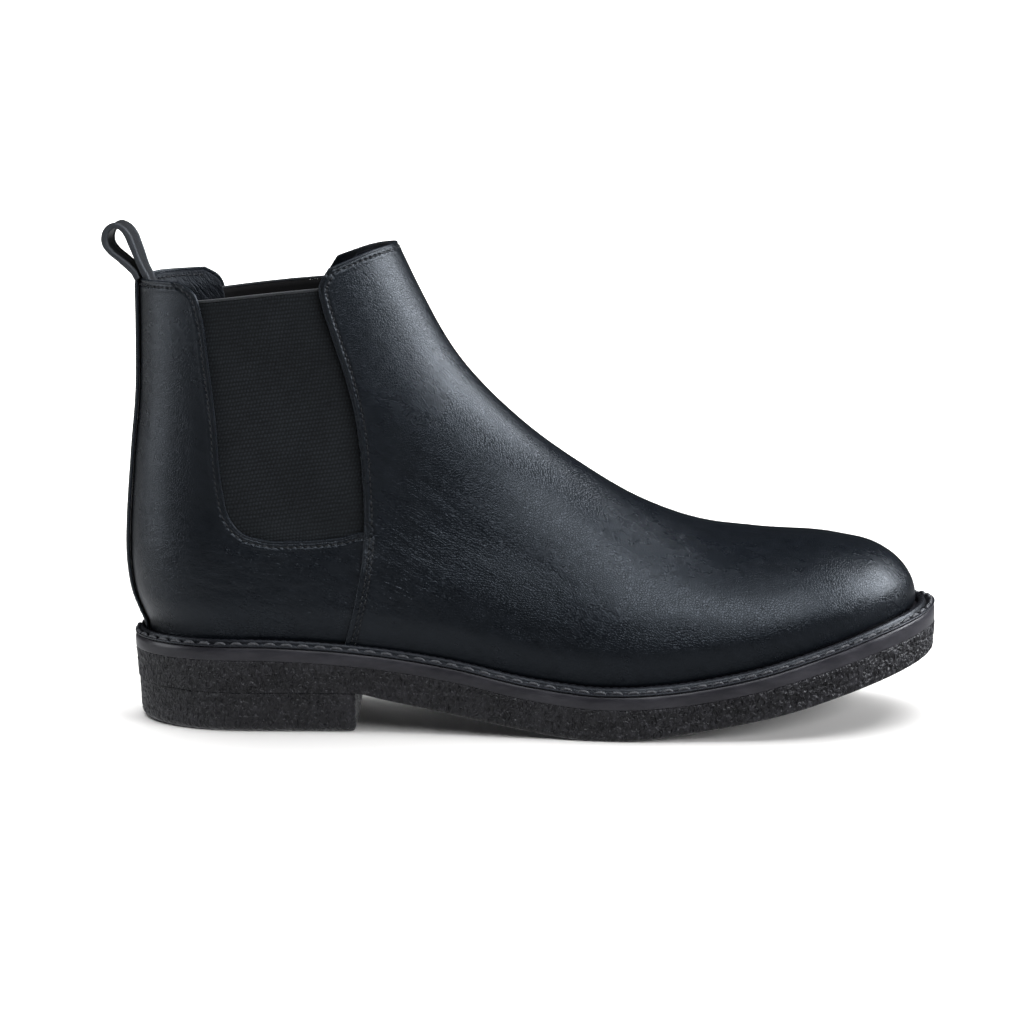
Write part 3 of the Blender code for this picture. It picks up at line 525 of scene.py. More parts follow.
def skin(edges, spacing, outer, thickness, relief=None):
    """A panel's points, faces, painted highlight and painted shade at its edges, and which way round its
    edges run.

    Edges come in order round the panel. outer gives the depth of its outer face.
    """
    lines = [resample(edge.line, SEWN_STEP if edge.rows else HIDDEN_STEP) for edge in edges]
    outline = np.concatenate([line[:-1] for line in lines])
    ahead = np.roll(outline, -1, axis=0)
    turn = np.sign((outline[:, 0] * ahead[:, 1] - outline[:, 1] * ahead[:, 0]).sum())
    border = surface(*outline.T)
    border = np.concatenate([border, border[:1]])
    body = fill(outline, spacing)
    body_points = surface(*body.T)
    room = nearest_on(border, body_points)[0] > 0.5 * spacing
    rings = []
    for line, edge in zip(lines, edges):
        if not edge.rows:
            continue
        room &= nearest_on(surface(*line.T), body_points)[0] > RINGS[-1] + 0.4 * spacing
        for distance in RINGS:
            ring = shifted(line, turn * distance)
            ring = ring[(ring[:, 1] > 0) & (ring[:, 1] < 1)]
            ring = ring[inside(outline, *ring.T)]
            rings.append(ring[nearest_on(border, surface(*ring.T))[0] > 0.9 * distance])
    flat = np.concatenate([outline, body[room]] + rings)
    loop = [(i, (i + 1) % len(outline)) for i in range(len(outline))]
    plane = [Vector((angle, share * SHARE_SCALE)) for angle, share in flat.tolist()]
    plane, _, faces, origins, *_ = delaunay_2d_cdt(plane, loop, [], 1, 1e-7)
    angle, share = np.array([(point.x, point.y / SHARE_SCALE) for point in plane]).T
    on_edge = np.array([bool(origin) and min(origin) < len(outline) for origin in origins])
    base = surface(angle, share)
    gap = np.where(on_edge, 0.0, nearest_on(border, base)[0])
    fall = 1 - np.sqrt(1 - (1 - np.clip(gap / RIM, 0, 1)) ** 2)
    outer = outer(base)
    depth = outer + 0.6 * thickness * fall
    # Painted highlight on the rounded rim; the seams' painted shade is taken off it below.
    shade = 0.8 * fall * (gap < RIM)
    for line, edge in zip(lines, edges):
        if edge.rows:
            sink, painted_shade = sewn_depth(edge, *nearest_on(surface(*line.T), base))
            depth += (1 - fall) * sink
            shade -= (1 - fall) * painted_shade
    if relief:
        depth += (1 - fall) * relief(base)
    top = layer(angle, share, depth)
    under = layer(angle[~on_edge], share[~on_edge], (outer + thickness * (1 - 0.4 * fall))[~on_edge])
    twin = np.where(on_edge, np.arange(len(top)), len(top) + np.cumsum(~on_edge) - 1).tolist()
    faces = [list(face)[::-1] for face in faces]
    faces += [[twin[corner] for corner in face[::-1]] for face in faces]
    shade = np.concatenate([np.clip(shade, -1, 1), np.zeros(len(under))])
    return np.concatenate([top, under]), faces, shade, turn


def tubes(centres, out, radius, sides=6):
    """Short closed tubes along lines of centres; out points away from the surface they lie on."""
    ahead = np.gradient(centres, axis=1)
    ahead /= np.linalg.norm(ahead, axis=-1, keepdims=True)
    beside = np.cross(ahead, out)
    beside /= np.linalg.norm(beside, axis=-1, keepdims=True)
    turns = 2 * math.pi * np.arange(sides) / sides
    rings = (centres[:, :, None] + radius * (np.cos(turns)[:, None] * beside[:, :, None]
                                             + np.sin(turns)[:, None] * out[:, :, None]))
    count, steps = centres.shape[:2]
    faces = []
    for k in range(count):
        start = k * steps * sides
        for low in range(start, start + (steps - 1) * sides, sides):
            faces += ring_faces(sides, low, low + sides)
        last = start + (steps - 1) * sides
        faces += [tuple(range(start, start + sides))[::-1], tuple(range(last, last + sides))]
    return rings.reshape(-1, 3), faces


def stitches(edge, turn, depth, length=1.7, radius=0.24):
    """Threads along a sewn edge, each from one needle hole to the next."""
    line = resample(edge.line, SEWN_STEP)
    lengths = running_length(surface(*line.T))
    threads = []
    for number, row in enumerate(edge.rows):
        near, far = [shifted(line, turn * (row + side * 0.12)) for side in (-1, 1)]
        middles = (np.arange(int(lengths[-1] / edge.pitch) - 1) + 1.5 - number / 2) * edge.pitch
        along = np.linspace(-0.5, 0.5, 7)
        at = middles[:, None] + along * length
        sway = along + 0.5
        angle, share = [np.interp(at, lengths, near[:, k]) * (1 - sway)
                        + np.interp(at, lengths, far[:, k]) * sway for k in (0, 1)]
        share = np.clip(share, 0, 1)
        sunk = depth + 0.1 + 0.5 * np.abs(2 * along) ** 3
        centres = layer(angle, share, np.broadcast_to(sunk, angle.shape))
        out = surface(angle, share) - centres
        out /= np.linalg.norm(out, axis=-1, keepdims=True)
        threads.append(tubes(centres, out, radius))
    return joined(threads)


# Materials

def nodes(looks):
    """Adds a node to a material, with its settings, and its inputs as values or as sockets to link."""
    tree = looks.node_tree

    def add(kind, inputs=(), **settings):
        made = tree.nodes.new(kind)
        for name, value in settings.items():
            setattr(made, name, value)
        for name, value in dict(inputs).items():
            if isinstance(value, bpy.types.NodeSocket):
                tree.links.new(value, made.inputs[name])
            else:
                made.inputs[name].default_value = value
        return made

    return add


def begin(name, roughness, specular=0.5, coat=0.0, metallic=0.0, sheen=0.0):
    """A new material with its shader, its node adder and its object coordinates."""
    looks = bpy.data.materials.new(name)
    looks.use_nodes = True
    shader = looks.node_tree.nodes["Principled BSDF"]
    shader.inputs["Roughness"].default_value = roughness
    shader.inputs["Specular IOR Level"].default_value = specular
    shader.inputs["Coat Weight"].default_value = coat
    shader.inputs["Coat Roughness"].default_value = 0.32
    shader.inputs["Metallic"].default_value = metallic
    shader.inputs["Sheen Weight"].default_value = sheen
    add = nodes(looks)
    place = add("ShaderNodeTexCoord").outputs["Object"]
    return looks, shader, add, place


def scaled(colour, share):
    return tuple(share * part for part in colour)


def stretched(add, place, scale, turned=(0, 0, 0)):
    """Coordinates turned and then scaled, so that a pattern can be drawn out along a slant."""
    scale = tuple(1.0 / part for part in scale)
    mapping = add("ShaderNodeMapping", {"Vector": place, "Scale": scale, "Rotation": turned},
                  vector_type="TEXTURE")
    return mapping.outputs["Vector"]


def near(add, place, centre, reach):
    """A mask that is 1 at a place in side view, in millimetres, and fades to 0 at its reach."""
    scale = tuple(1000.0 / part for part in (reach[0], 1.0e6, reach[1]))
    shift = add("ShaderNodeVectorMath", {0: place, 1: world((centre[0], 0.0, centre[1])).tolist()},
                operation="SUBTRACT").outputs["Vector"]
    far = add("ShaderNodeVectorMath", {0: stretched(add, shift, scale)}, operation="LENGTH").outputs["Value"]
    return ramp(add, far, 0.25, 1.0, 1.0, 0.0)


def speckle(add, place, scale, detail=3.0, roughness=0.55):
    return add("ShaderNodeTexNoise", {"Vector": place, "Scale": scale, "Detail": detail,
                                      "Roughness": roughness}).outputs["Fac"]


def ramp(add, value, low, high, first, last):
    """A value or colour that runs from first to last as an input runs from low to high."""
    colour = isinstance(first, tuple)
    span = add("ShaderNodeMapRange", {"Value": value, "From Min": low, "From Max": high})
    if not colour:
        span.inputs["To Min"].default_value = first
        span.inputs["To Max"].default_value = last
        return span.outputs["Result"]
    made = add("ShaderNodeMix", {"Factor": span.outputs["Result"]}, data_type="RGBA")
    made.inputs[6].default_value = first + (1.0,)
    made.inputs[7].default_value = last + (1.0,)
    return made.outputs[2]


def blended(add, share, first, last):
    """A colour between two, each a socket or a colour."""
    made = add("ShaderNodeMix", {"Factor": share}, data_type="RGBA")
    for index, value in ((6, first), (7, last)):
        if isinstance(value, bpy.types.NodeSocket):
            made.id_data.links.new(value, made.inputs[index])
        else:
            made.inputs[index].default_value = value + (1.0,)
    return made.outputs[2]


def bump(add, height, distance, strength=1.0, under=None):
    inputs = {"Height": height, "Distance": distance, "Strength": strength}
    if under:
        inputs["Normal"] = under
    return add("ShaderNodeBump", inputs).outputs["Normal"]


def reckon(add, operation, first, second=0.0):
    return add("ShaderNodeMath", {0: first, 1: second}, operation=operation).outputs[0]


def off_middle(add, value):
    """How far a noise is from its middle, so that its middle draws lines."""
    return reckon(add, "ABSOLUTE", reckon(add, "SUBTRACT", value, 0.5))


def finish(looks, shader, colour, roughness, normal):
    links = looks.node_tree.links
    links.new(colour, shader.inputs["Base Color"])
    links.new(roughness, shader.inputs["Roughness"])
    links.new(normal, shader.inputs["Normal"])
    return looks


def leather(name, base, worn_and_rim_highlight, roughness, coat, grain=1.0, creased=1.0, folded=(), specular=0.25):
    """Smooth aniline leather: fine grain, drawn streaks, dull patches, painted shade in needle holes and
    grooves, and a painted highlight on rims.
    """
    looks, shader, add, place = begin(name, roughness, specular, coat)
    shader.inputs["Specular Tint"].default_value = (0.80, 0.89, 1.0, 1.0)
    cells = add("ShaderNodeTexVoronoi", {"Vector": place, "Scale": 1150.0}, feature="DISTANCE_TO_EDGE")
    pores = ramp(add, cells.outputs["Distance"], 0.0, 0.16, 0.0, 1.0)
    streaks = speckle(add, stretched(add, place, (1.0, 1.0, 0.30), (0.0, -0.95, 0.0)), 360.0, 2.0, 0.6)
    folds = speckle(add, stretched(add, place, (0.45, 1.0, 1.6), (0.0, 0.55, 0.0)), 105.0, 2.0, 0.5)
    patches = speckle(add, place, 38.0, 4.0, 0.6)
    edge = add("ShaderNodeAttribute", attribute_name="edge").outputs["Fac"]
    colour = ramp(add, patches, 0.35, 0.7, base, scaled(base, 0.72))
    colour = blended(add, ramp(add, streaks, 0.30, 0.75, 0.0, 0.40), colour, worn_and_rim_highlight)
    # Painted highlight: lighter colour on raised rims and edges, where edge is above 0.
    colour = blended(add, ramp(add, edge, 0.0, 1.0, 0.0, 0.75), colour, scaled(worn_and_rim_highlight, 2.2))
    # Painted shade: near black in grooves, notches and needle holes, where edge is below 0.
    colour = blended(add, ramp(add, edge, 0.0, -0.9, 0.0, 1.0), colour, (0.001, 0.001, 0.0012))
    dull = ramp(add, patches, 0.3, 0.75, roughness - 0.04, roughness + 0.05)
    rough = reckon(add, "ADD", dull, ramp(add, streaks, 0.3, 0.75, -0.015, 0.02))
    normal = bump(add, folds, 0.00014 * creased, 0.4)
    for slant, scale, centre, reach in folded:
        lines = speckle(add, stretched(add, place, (0.30, 1.0, 1.5), (0.0, slant, 0.0)), scale, 1.5, 0.5)
        wrinkle = ramp(add, off_middle(add, lines), 0.0, 0.09, 0.0, 1.0)
        height = blended(add, near(add, place, centre, reach), (1.0, 1.0, 1.0), wrinkle)
        normal = bump(add, height, 0.00010 * creased, 0.6, normal)
    normal = bump(add, streaks, 0.00007 * grain, 0.6, normal)
    normal = bump(add, pores, 0.00005 * grain, 0.6, normal)
    return finish(looks, shader, colour, rough, normal)


def elastic(name, base, light, sheen=0.3):
    """Woven elastic: the weave is in the piece's shape, its threads are finely spun, and painted shade
    darkens the gaps of the weave.
    """
    looks, shader, add, place = begin(name, 0.85, 0.15, sheen=sheen)
    shader.inputs["Sheen Roughness"].default_value = 0.5
    fibres = speckle(add, stretched(add, place, (1.0, 1.0, 5.0)), 1400.0, 3.0, 0.7)
    patches = speckle(add, place, 60.0, 2.0)
    edge = add("ShaderNodeAttribute", attribute_name="edge").outputs["Fac"]
    colour = ramp(add, fibres, 0.35, 0.7, base, light)
    colour = blended(add, ramp(add, patches, 0.4, 0.65, 0.0, 0.3), colour, light)
    # Painted shade in the weave's gaps, where edge is below 0.
    colour = blended(add, ramp(add, edge, 0.0, -1.0, 0.0, 0.9), colour, scaled(base, 0.12))
    rough = ramp(add, fibres, 0.3, 0.7, 0.75, 0.95)
    return finish(looks, shader, colour, rough, bump(add, fibres, 0.00012, 0.6))


def rubber(name, base, light, roughness, spread, depth, worms=0.0):
    """Moulded rubber with a fine satin pitting and scuffs, crepe's wandering ridges, and painted light:
    highlights on ridges and edges, shade between ridges.
    """
    looks, shader, add, place = begin(name, roughness, 0.28)
    pits = speckle(add, place, 1500.0, 4.0, 0.7)
    scuffs = speckle(add, stretched(add, place, (0.5, 0.5, 1.4)), 130.0, 4.0, 0.7)
    edge = add("ShaderNodeAttribute", attribute_name="edge").outputs["Fac"]
    colour = ramp(add, scuffs, 0.4, 0.72, base, light)
    # Painted highlight on ridges and top edges, where edge is above 0.
    colour = blended(add, ramp(add, edge, 0.0, 1.0, 0.0, 0.6), colour, scaled(light, 1.7))
    # Painted shade in the crepe's valleys, where edge is below 0.
    colour = blended(add, ramp(add, edge, 0.0, -1.0, 0.0, 0.8), colour, scaled(base, 0.3))
    rough = ramp(add, scuffs, 0.35, 0.75, roughness - spread, roughness + spread)
    normal = bump(add, pits, depth, 0.5)
    for scale in (330.0, 520.0) if worms else ():
        wander = speckle(add, stretched(add, place, (1.0, 1.0, 0.65)), scale, 1.0, 0.5)
        ridge = ramp(add, off_middle(add, wander), 0.02, 0.12, 1.0, 0.0)
        normal = bump(add, ridge, worms, 0.9, normal)
        # Painted shade between the wandering ridges.
        colour = blended(add, ramp(add, ridge, 0.0, 1.0, 0.30, 0.0), colour, scaled(base, 0.2))
    return finish(looks, shader, colour, rough, normal)


def spun(name, base, light):
    """Waxed thread, twisted."""
    looks, shader, add, place = begin(name, 0.5, 0.4)
    twist = add("ShaderNodeTexWave", {"Vector": stretched(add, place, (1.0, 1.0, 1.0), (0.3, 0.7, 0.2)),
                                      "Scale": 900.0, "Distortion": 1.0}).outputs["Fac"]
    fuzz = speckle(add, place, 1600.0)
    colour = ramp(add, fuzz, 0.35, 0.7, base, light)
    rough = ramp(add, fuzz, 0.3, 0.7, 0.42, 0.62)
    return finish(looks, shader, colour, rough, bump(add, twist, 0.0001, 0.6))


def plain(name, base, light, roughness, scale, metallic=0.0, depth=0.0001, stretch=(1.0, 1.0, 1.0)):
    """A mottled and slightly uneven material for the pieces inside."""
    looks, shader, add, place = begin(name, roughness, metallic=metallic)
    mottle = speckle(add, stretched(add, place, stretch), scale, 5.0, 0.65)
    colour = ramp(add, mottle, 0.35, 0.68, base, light)
    rough = ramp(add, mottle, 0.3, 0.7, roughness - 0.06, roughness + 0.06)
    return finish(looks, shader, colour, rough, bump(add, mottle, depth))


FOLDED = (
    (0.58, 300.0, (116.0, 78.0), (34.0, 34.0)),
    (0.50, 340.0, (98.0, 56.0), (30.0, 22.0)),
    (0.10, 420.0, (46.0, 62.0), (40.0, 16.0)),
    (-0.20, 380.0, (22.0, 62.0), (26.0, 22.0)),
    (0.40, 420.0, (60.0, 46.0), (40.0, 16.0)),
    (0.60, 420.0, (126.0, 160.0), (30.0, 40.0)),
)
UPPER = leather("upper_leather", (0.0022, 0.0029, 0.0040), (0.0050, 0.0061, 0.0082), 0.29, 0.05, 1.5, 1.0,
                FOLDED)
INNER_LEATHER = leather("inner_leather", (0.0026, 0.0030, 0.0042), (0.0070, 0.0080, 0.0105), 0.42, 0.02, 2.0,
                        2.2, ((0.9, 330.0, (22.0, 168.0), (60.0, 40.0)),), 0.12)
TAB_LEATHER = leather("tab_leather", (0.0085, 0.0088, 0.0098), (0.020, 0.021, 0.023), 0.48, 0.05, 1.6)
WELT_LEATHER = leather("welt_leather", (0.0034, 0.0035, 0.0046), (0.0095, 0.0095, 0.0120), 0.38, 0.10, 1.3)
ELASTIC = elastic("woven_elastic", (0.0030, 0.0038, 0.0046), (0.0230, 0.0275, 0.0320), 0.03)
ELASTIC_BACK = elastic("elastic_backing", (0.0016, 0.0015, 0.0017), (0.0034, 0.0032, 0.0035), 0.01)
PIPING = elastic("piping_tape", (0.012, 0.0135, 0.015), (0.028, 0.030, 0.033), 0.1)
BAND_RUBBER = rubber("sole_band", (0.0110, 0.0106, 0.0132), (0.0215, 0.0208, 0.0250), 0.36, 0.06, 0.00008)
CREPE = rubber("crepe_rubber", (0.0074, 0.0071, 0.0086), (0.0170, 0.0165, 0.0195), 0.44, 0.06, 0.00008,
               0.0004)
SEAM_THREAD = spun("seam_thread", (0.0026, 0.0030, 0.0038), (0.0080, 0.0088, 0.0105))
WELT_THREAD = spun("welt_thread_wax", (0.0100, 0.0105, 0.0122), (0.050, 0.052, 0.058))
INSIDES = {
    "board": plain("board", (0.30, 0.22, 0.14), (0.42, 0.32, 0.21), 0.88, 220.0),
    "cork": plain("cork", (0.30, 0.18, 0.09), (0.55, 0.37, 0.21), 0.92, 300.0, depth=0.0004),
    "foam": plain("foam", (0.42, 0.42, 0.39), (0.56, 0.56, 0.52), 0.94, 900.0, depth=0.0003),
    "stiffener": plain("stiffener", (0.46, 0.41, 0.33), (0.60, 0.55, 0.46), 0.82, 500.0),
    "steel": plain("steel", (0.42, 0.43, 0.45), (0.62, 0.63, 0.65), 0.36, 260.0, 1.0, 0.00003,
                   (0.2, 1.0, 1.0)),
}


# The sole, as loops round its edge that share the same stations

SOLE_STATIONS = 1440
BAND_STATIONS = 900


def turns(count):
    """Even steps round the sole, as turns: 0 is the back of the heel, 1 the toe, and past 1 is medial."""
    fine = np.linspace(0, 1, 3001)
    lengths = running_length(rim(0.0, 0.0, fine))
    half = np.interp(np.linspace(0, lengths[-1], count // 2 + 1), lengths, fine)
    return np.concatenate([half, 2 - half[-2:0:-1]])


def rim(heel_inset, toe_inset, turn):
    """Plan outline of the sole, its edge moved in by insets."""
    x = heel_inset + (SOLE_LENGTH - toe_inset - heel_inset) * (1 - np.cos(math.pi * turn)) / 2
    side = np.where(turn < 1, -1.0, 1.0)
    return np.column_stack([x, centre_line(x) + side * edge_half(x, side, heel_inset, toe_inset)])


def loft(levels, stations, caps=(1, 1), low_cap=None):
    """A layer of the sole. Levels are (heel inset, toe inset, height function), bottom first.

    caps are how many strips close its bottom and its top, and low_cap raises points of the bottom.
    """
    count = len(stations)
    loops = []
    for heel_inset, toe_inset, height in levels:
        plan = rim(heel_inset, toe_inset, stations)
        loops.append(np.column_stack([plan, height(plan[:, 0])]))
    points = np.concatenate(loops)
    faces = []
    for low in range(0, count * (len(loops) - 1), count):
        faces += ring_faces(count, low, low + count)
    half = count // 2
    for strips, start, upward in ((caps[0], 0, False), (caps[1], count * (len(loops) - 1), True)):
        share = np.linspace(0, 1, strips + 1)[1:-1]
        lateral, medial = points[start + 1:start + half], points[start + count - 1:start + half:-1]
        between = lateral[:, None] + (medial - lateral)[:, None] * share[:, None]
        grid = np.full((half + 1, strips + 1), -1)
        grid[1:-1, 0] = np.arange(start + 1, start + half)
        grid[1:-1, -1] = np.arange(start + count - 1, start + half, -1)
        grid[1:-1, 1:-1] = len(points) + np.arange(between.shape[0] * between.shape[1]).reshape(
            between.shape[:2])
        grid[0], grid[-1] = start, start + half
        if low_cap and not upward:
            between[..., 2] = low_cap(between)
        points = np.concatenate([points, between.reshape(-1, 3)])
        for i in range(half):
            for j in range(strips):
                corners = [grid[i, j], grid[i + 1, j], grid[i + 1, j + 1], grid[i, j + 1]]
                face = [int(c) for k, c in enumerate(corners) if c not in corners[:k]]
                if len(face) > 2:
                    faces.append(face if upward else face[::-1])
    return points, faces


def crepe(points, strength=1.0):
    """Height of the crepe's wandering ridges at points of its surface, and painted light on them: a painted
    highlight on the ridges and painted shade between them, stronger towards the toe.
    """
    toe = smoothstep(points[:, 0], 150.0, 290.0)
    wander = noise_at(points, (0.12, 0.12, 0.12), 31.0)[:, None] * (2.2, 2.2, 1.2)
    ridges = np.zeros(len(points))
    for cells, width, gain in (((0.50, 0.50, 0.27), 0.20, 1.0), ((0.72, 0.72, 0.58), 0.22, 0.75)):
        line = noise_at(points + wander, cells, 7.0 * gain)
        ridges = np.maximum(ridges, gain * np.exp(-(line / width) ** 2))
    grit = noise_at(points, (1.1, 1.1, 0.9), 5.0)
    height = (0.42 + 0.30 * toe) * ridges * strength + 0.08 * grit
    # The second value is painted light: above 0 a highlight on ridge tops, below 0 shade in the valleys.
    return height, np.clip(0.9 * ridges - 0.55, -1, 1) * (0.6 + 0.4 * toe)


def outward(count, levels, points):
    """Directions away from the sole at the points of its loops, level."""
    loops = points[:count * levels].reshape(levels, count, 3)
    ahead = np.roll(loops, -1, axis=1) - np.roll(loops, 1, axis=1)
    out = np.stack([ahead[..., 1], -ahead[..., 0], np.zeros(ahead.shape[:2])], axis=-1)
    out /= np.maximum(np.linalg.norm(out, axis=-1, keepdims=True), 1e-9)
    return out.reshape(-1, 3)


def rows_between(first, last, count):
    """Levels that run evenly from one level to another."""
    rows = []
    for share in np.linspace(0, 1, count):
        insets = [(1 - share) * a + share * b for a, b in zip(first[:2], last[:2])]
        rows.append((*insets, lambda x, share=share: (1 - share) * first[2](x) + share * last[2](x)))
    return rows


def add_outsole():
    """The outsole, its wall and its tread raised into crepe."""
    count = SOLE_STATIONS
    stations = turns(count)
    corner = [(1.45 - 0.2 * math.sin(a), 1.7 - 0.9 * math.sin(a),
               lambda x, a=a: tread(x) + (0.2 + 1.1 * smoothstep(x, 80.0, 92.0)) * (1 - math.cos(a)))
              for a in np.linspace(0, math.pi / 2, 4)]
    levels = corner[:-1] + rows_between(corner[-1], (0.35, 0.35, lambda x: deck(x) + 0.2), 27)
    points, faces = loft(levels, stations, (40, 1), lambda p: tread(p[..., 0]))
    wall = count * len(levels)
    # light is the painted light from crepe(), carried to the material as the edge attribute.
    height, light = crepe(points)
    out = outward(count, len(levels), points)
    row = np.arange(wall) // count
    soft = smoothstep(row, 0, 3) * smoothstep(len(levels) - 1 - row, 0, 2)
    points[:wall] += out * ((height[:wall] - 0.2) * soft)[:, None]
    top = slice(wall, None)
    under = points[top, 2] < deck(points[top, 0]) - 3
    points[top, 2] += np.where(under, 0.7 * (0.5 - height[top]), 0)
    light[wall:] = np.where(under, light[wall:], 0)
    # Painted highlight along the top of the outsole's wall, under the band.
    light[:wall] = np.where(row >= len(levels) - 2, 0.35, light[:wall])
    add_piece("crepe_outsole", points, faces, CREPE, "crepe_rubber", "boot", ["outsole"], light)


def add_heel_block():
    """The heel block: its edge runs round the heel, then straight across its breast."""
    fine = turns(SOLE_STATIONS)
    half = len(fine) // 2
    corner = np.linspace(0, math.pi / 2, 8)[:-1]
    depths = np.concatenate([2.6 * (1 - np.sin(corner)), np.zeros(24)])
    heights = np.concatenate([2.8 * (1 - np.cos(corner)), np.linspace(2.8, HEEL_HEIGHT - 0.1, 24)])
    loops = []
    for depth, height in zip(depths, heights):
        inset = 2.2 + depth - 0.75 * height / HEEL_HEIGHT
        plan = rim(inset, inset, fine)
        breast = HEEL_BREAST - 1.5 - 0.3 * depth
        lateral = plan[:half][plan[:half, 0] < HEEL_BREAST - 2.7]
        medial = plan[half + 1:][plan[half + 1:, 0] < HEEL_BREAST - 2.7]
        loops.append((lateral, medial, breast, height))
    laterals = min(len(loop[0]) for loop in loops)
    medials = min(len(loop[1]) for loop in loops)
    across = np.linspace(0, 1, 121)
    stack = []
    for lateral, medial, breast, height in loops:
        lateral, medial = lateral[:laterals], medial[-medials:]
        y = lateral[-1, 1] + (medial[0, 1] - lateral[-1, 1]) * across
        corner = 1 - rounding(np.minimum(across, 1 - across), 0.02)
        x = breast - (breast - lateral[-1, 0]) * corner
        plan = np.concatenate([lateral, np.column_stack([x, y])[1:-1], medial])
        stack.append(np.column_stack([plan, np.full(len(plan), height)]))
    count = len(stack[0])
    points = np.concatenate(stack)
    faces = []
    for low in range(0, count * (len(stack) - 1), count):
        faces += ring_faces(count, low, low + count)
    # light is the painted light from crepe(), as on the outsole.
    height, light = crepe(points, 0.8)
    out = outward(count, len(stack), points)
    row = np.arange(len(points)) // count
    soft = smoothstep(row, 0, 4) * smoothstep(len(stack) - 1 - row, 0, 2)
    points += out * ((height - 0.2) * soft)[:, None]
    base = np.array([float(stack[0][:, 0].mean()), float(stack[0][:, 1].mean()), 0.0])
    inner, start = [], len(points)
    shares = np.linspace(1, 0, 60)[1:-1]
    for share in shares:
        ring = base + (stack[0] - base) * share
        # shine: painted highlight and painted shade on the ridges of the heel's tread.
        lift, shine = crepe(ring)
        ring[:, 2] = 0.45 * (0.5 - lift) + 0.05
        inner.append(ring)
        light = np.concatenate([light, shine])
    points = np.concatenate([points] + inner + [base[None] + (0, 0, 0.2), base[None] + (0, 0, 14.7)])
    light = np.concatenate([light, [0.0, 0.0]])
    rings = [0] + [start + k * count for k in range(len(shares))]
    for high, low in zip(rings[:-1], rings[1:]):
        faces += ring_faces(count, low, high)
    faces += [(rings[-1] + (i + 1) % count, rings[-1] + i, len(points) - 2) for i in range(count)]
    top = count * (len(stack) - 1)
    faces += [(top + i, top + (i + 1) % count, len(points) - 1) for i in range(count)]
    add_piece("crepe_heel", points, faces, CREPE, "crepe_rubber", "boot", ["heel_block"], light)


def add_band():
    """The smooth band on the outsole, its edges eased."""
    levels = []
    for part in np.linspace(0, 1, 15):
        inset = 0.62 * part ** 6 + 0.12 * (1 - part) ** 4
        levels.append((inset, inset, lambda x, part=part: deck(x) + CLEARANCE
                       + (band(x) - 0.05) * part))
    points, faces = loft(levels, turns(BAND_STATIONS))
    wall = BAND_STATIONS * len(levels)
    out = outward(BAND_STATIONS, len(levels), points)
    points[:wall] += out * (0.07 * noise_at(points[:wall], (0.09, 0.09, 0.5), 3.0) - 0.05)[:, None]
    # Painted highlight along the band's top edge.
    edge = 0.4 * (np.arange(len(points)) // BAND_STATIONS == len(levels) - 1)
    add_piece("sole_band", points, faces, BAND_RUBBER, "sole_band", "boot", ["midsole"], edge)


def ring_points(stations, share, height):
    """Points round the upper, at a share of the welt's reach and a height above the band."""
    x_y = np.array([rim(HEEL_REACH * (1 - s), TOE_REACH * (1 - s), stations) for s in np.atleast_1d(share)])
    z = band_top(x_y[..., 0]) + np.atleast_1d(height)[:, None]
    return np.concatenate([x_y, z[..., None]], axis=-1)


def add_welt():
    """The welt: a rounded bead against the upper, a groove for its stitches, and a plain outer lip."""
    count = 1300
    stations = turns(count)
    shares, heights = np.array(WELT_SECTION).T
    points = ring_points(stations, shares, heights)
    lengths = running_length(points[0])
    row = np.arange(len(WELT_SECTION))
    on_bead = bell(row, 17.0, 1.1)[:, None]
    tooth = (0.5 + 0.5 * np.cos(2 * math.pi * lengths / 3.1)) ** 3
    points[..., 2] -= 0.30 * on_bead * tooth
    on_lip = bell(row, 7.0, 1.6)[:, None]
    points[..., 2] -= 0.10 * on_lip * (0.5 + 0.5 * np.cos(2 * math.pi * lengths / WELT_PITCH))
    # Painted highlight on the lip's top, painted shade in the stitch groove and in the bead's notches.
    edge = 0.55 * bell(row, 6.5, 1.4) - 0.9 * bell(row, 10.5, 1.6)
    edge = (edge[:, None] - 0.5 * on_bead * tooth).ravel()
    points = points.reshape(-1, 3)
    points[:, 2] += 0.05 * noise_at(points, (0.25, 0.25, 0.25), 12.0)
    faces = []
    for k in range(len(row)):
        faces += ring_faces(count, k * count, (k + 1) % len(row) * count)
    add_piece("welt_strip", points, faces, WELT_LEATHER, "upper_leather", "boot", ["welt"], edge)

    fine = ring_points(stations, 0.79, 1.30)[0]
    fine = np.concatenate([fine, fine[:1]])
    lengths = running_length(fine)
    pitch = lengths[-1] / round(lengths[-1] / WELT_PITCH)
    middles = (np.arange(round(lengths[-1] / pitch)) + 0.5) * pitch
    along = np.linspace(-0.5, 0.5, 11)
    at = middles[:, None] + WELT_STITCH * along
    centres = np.stack([np.interp(at % lengths[-1], lengths, fine[:, k]) for k in range(3)], axis=-1)
    centres[..., 2] += 0.15 - 0.95 * np.abs(2 * along) ** 3.5
    up = np.broadcast_to([0.0, 0.0, 1.0], centres.shape)
    points, faces = tubes(centres, up, WELT_THREAD_RADIUS, 8)
    add_piece("welt_stitches", points, faces, WELT_THREAD, "thread", "boot", ["welt_thread"])


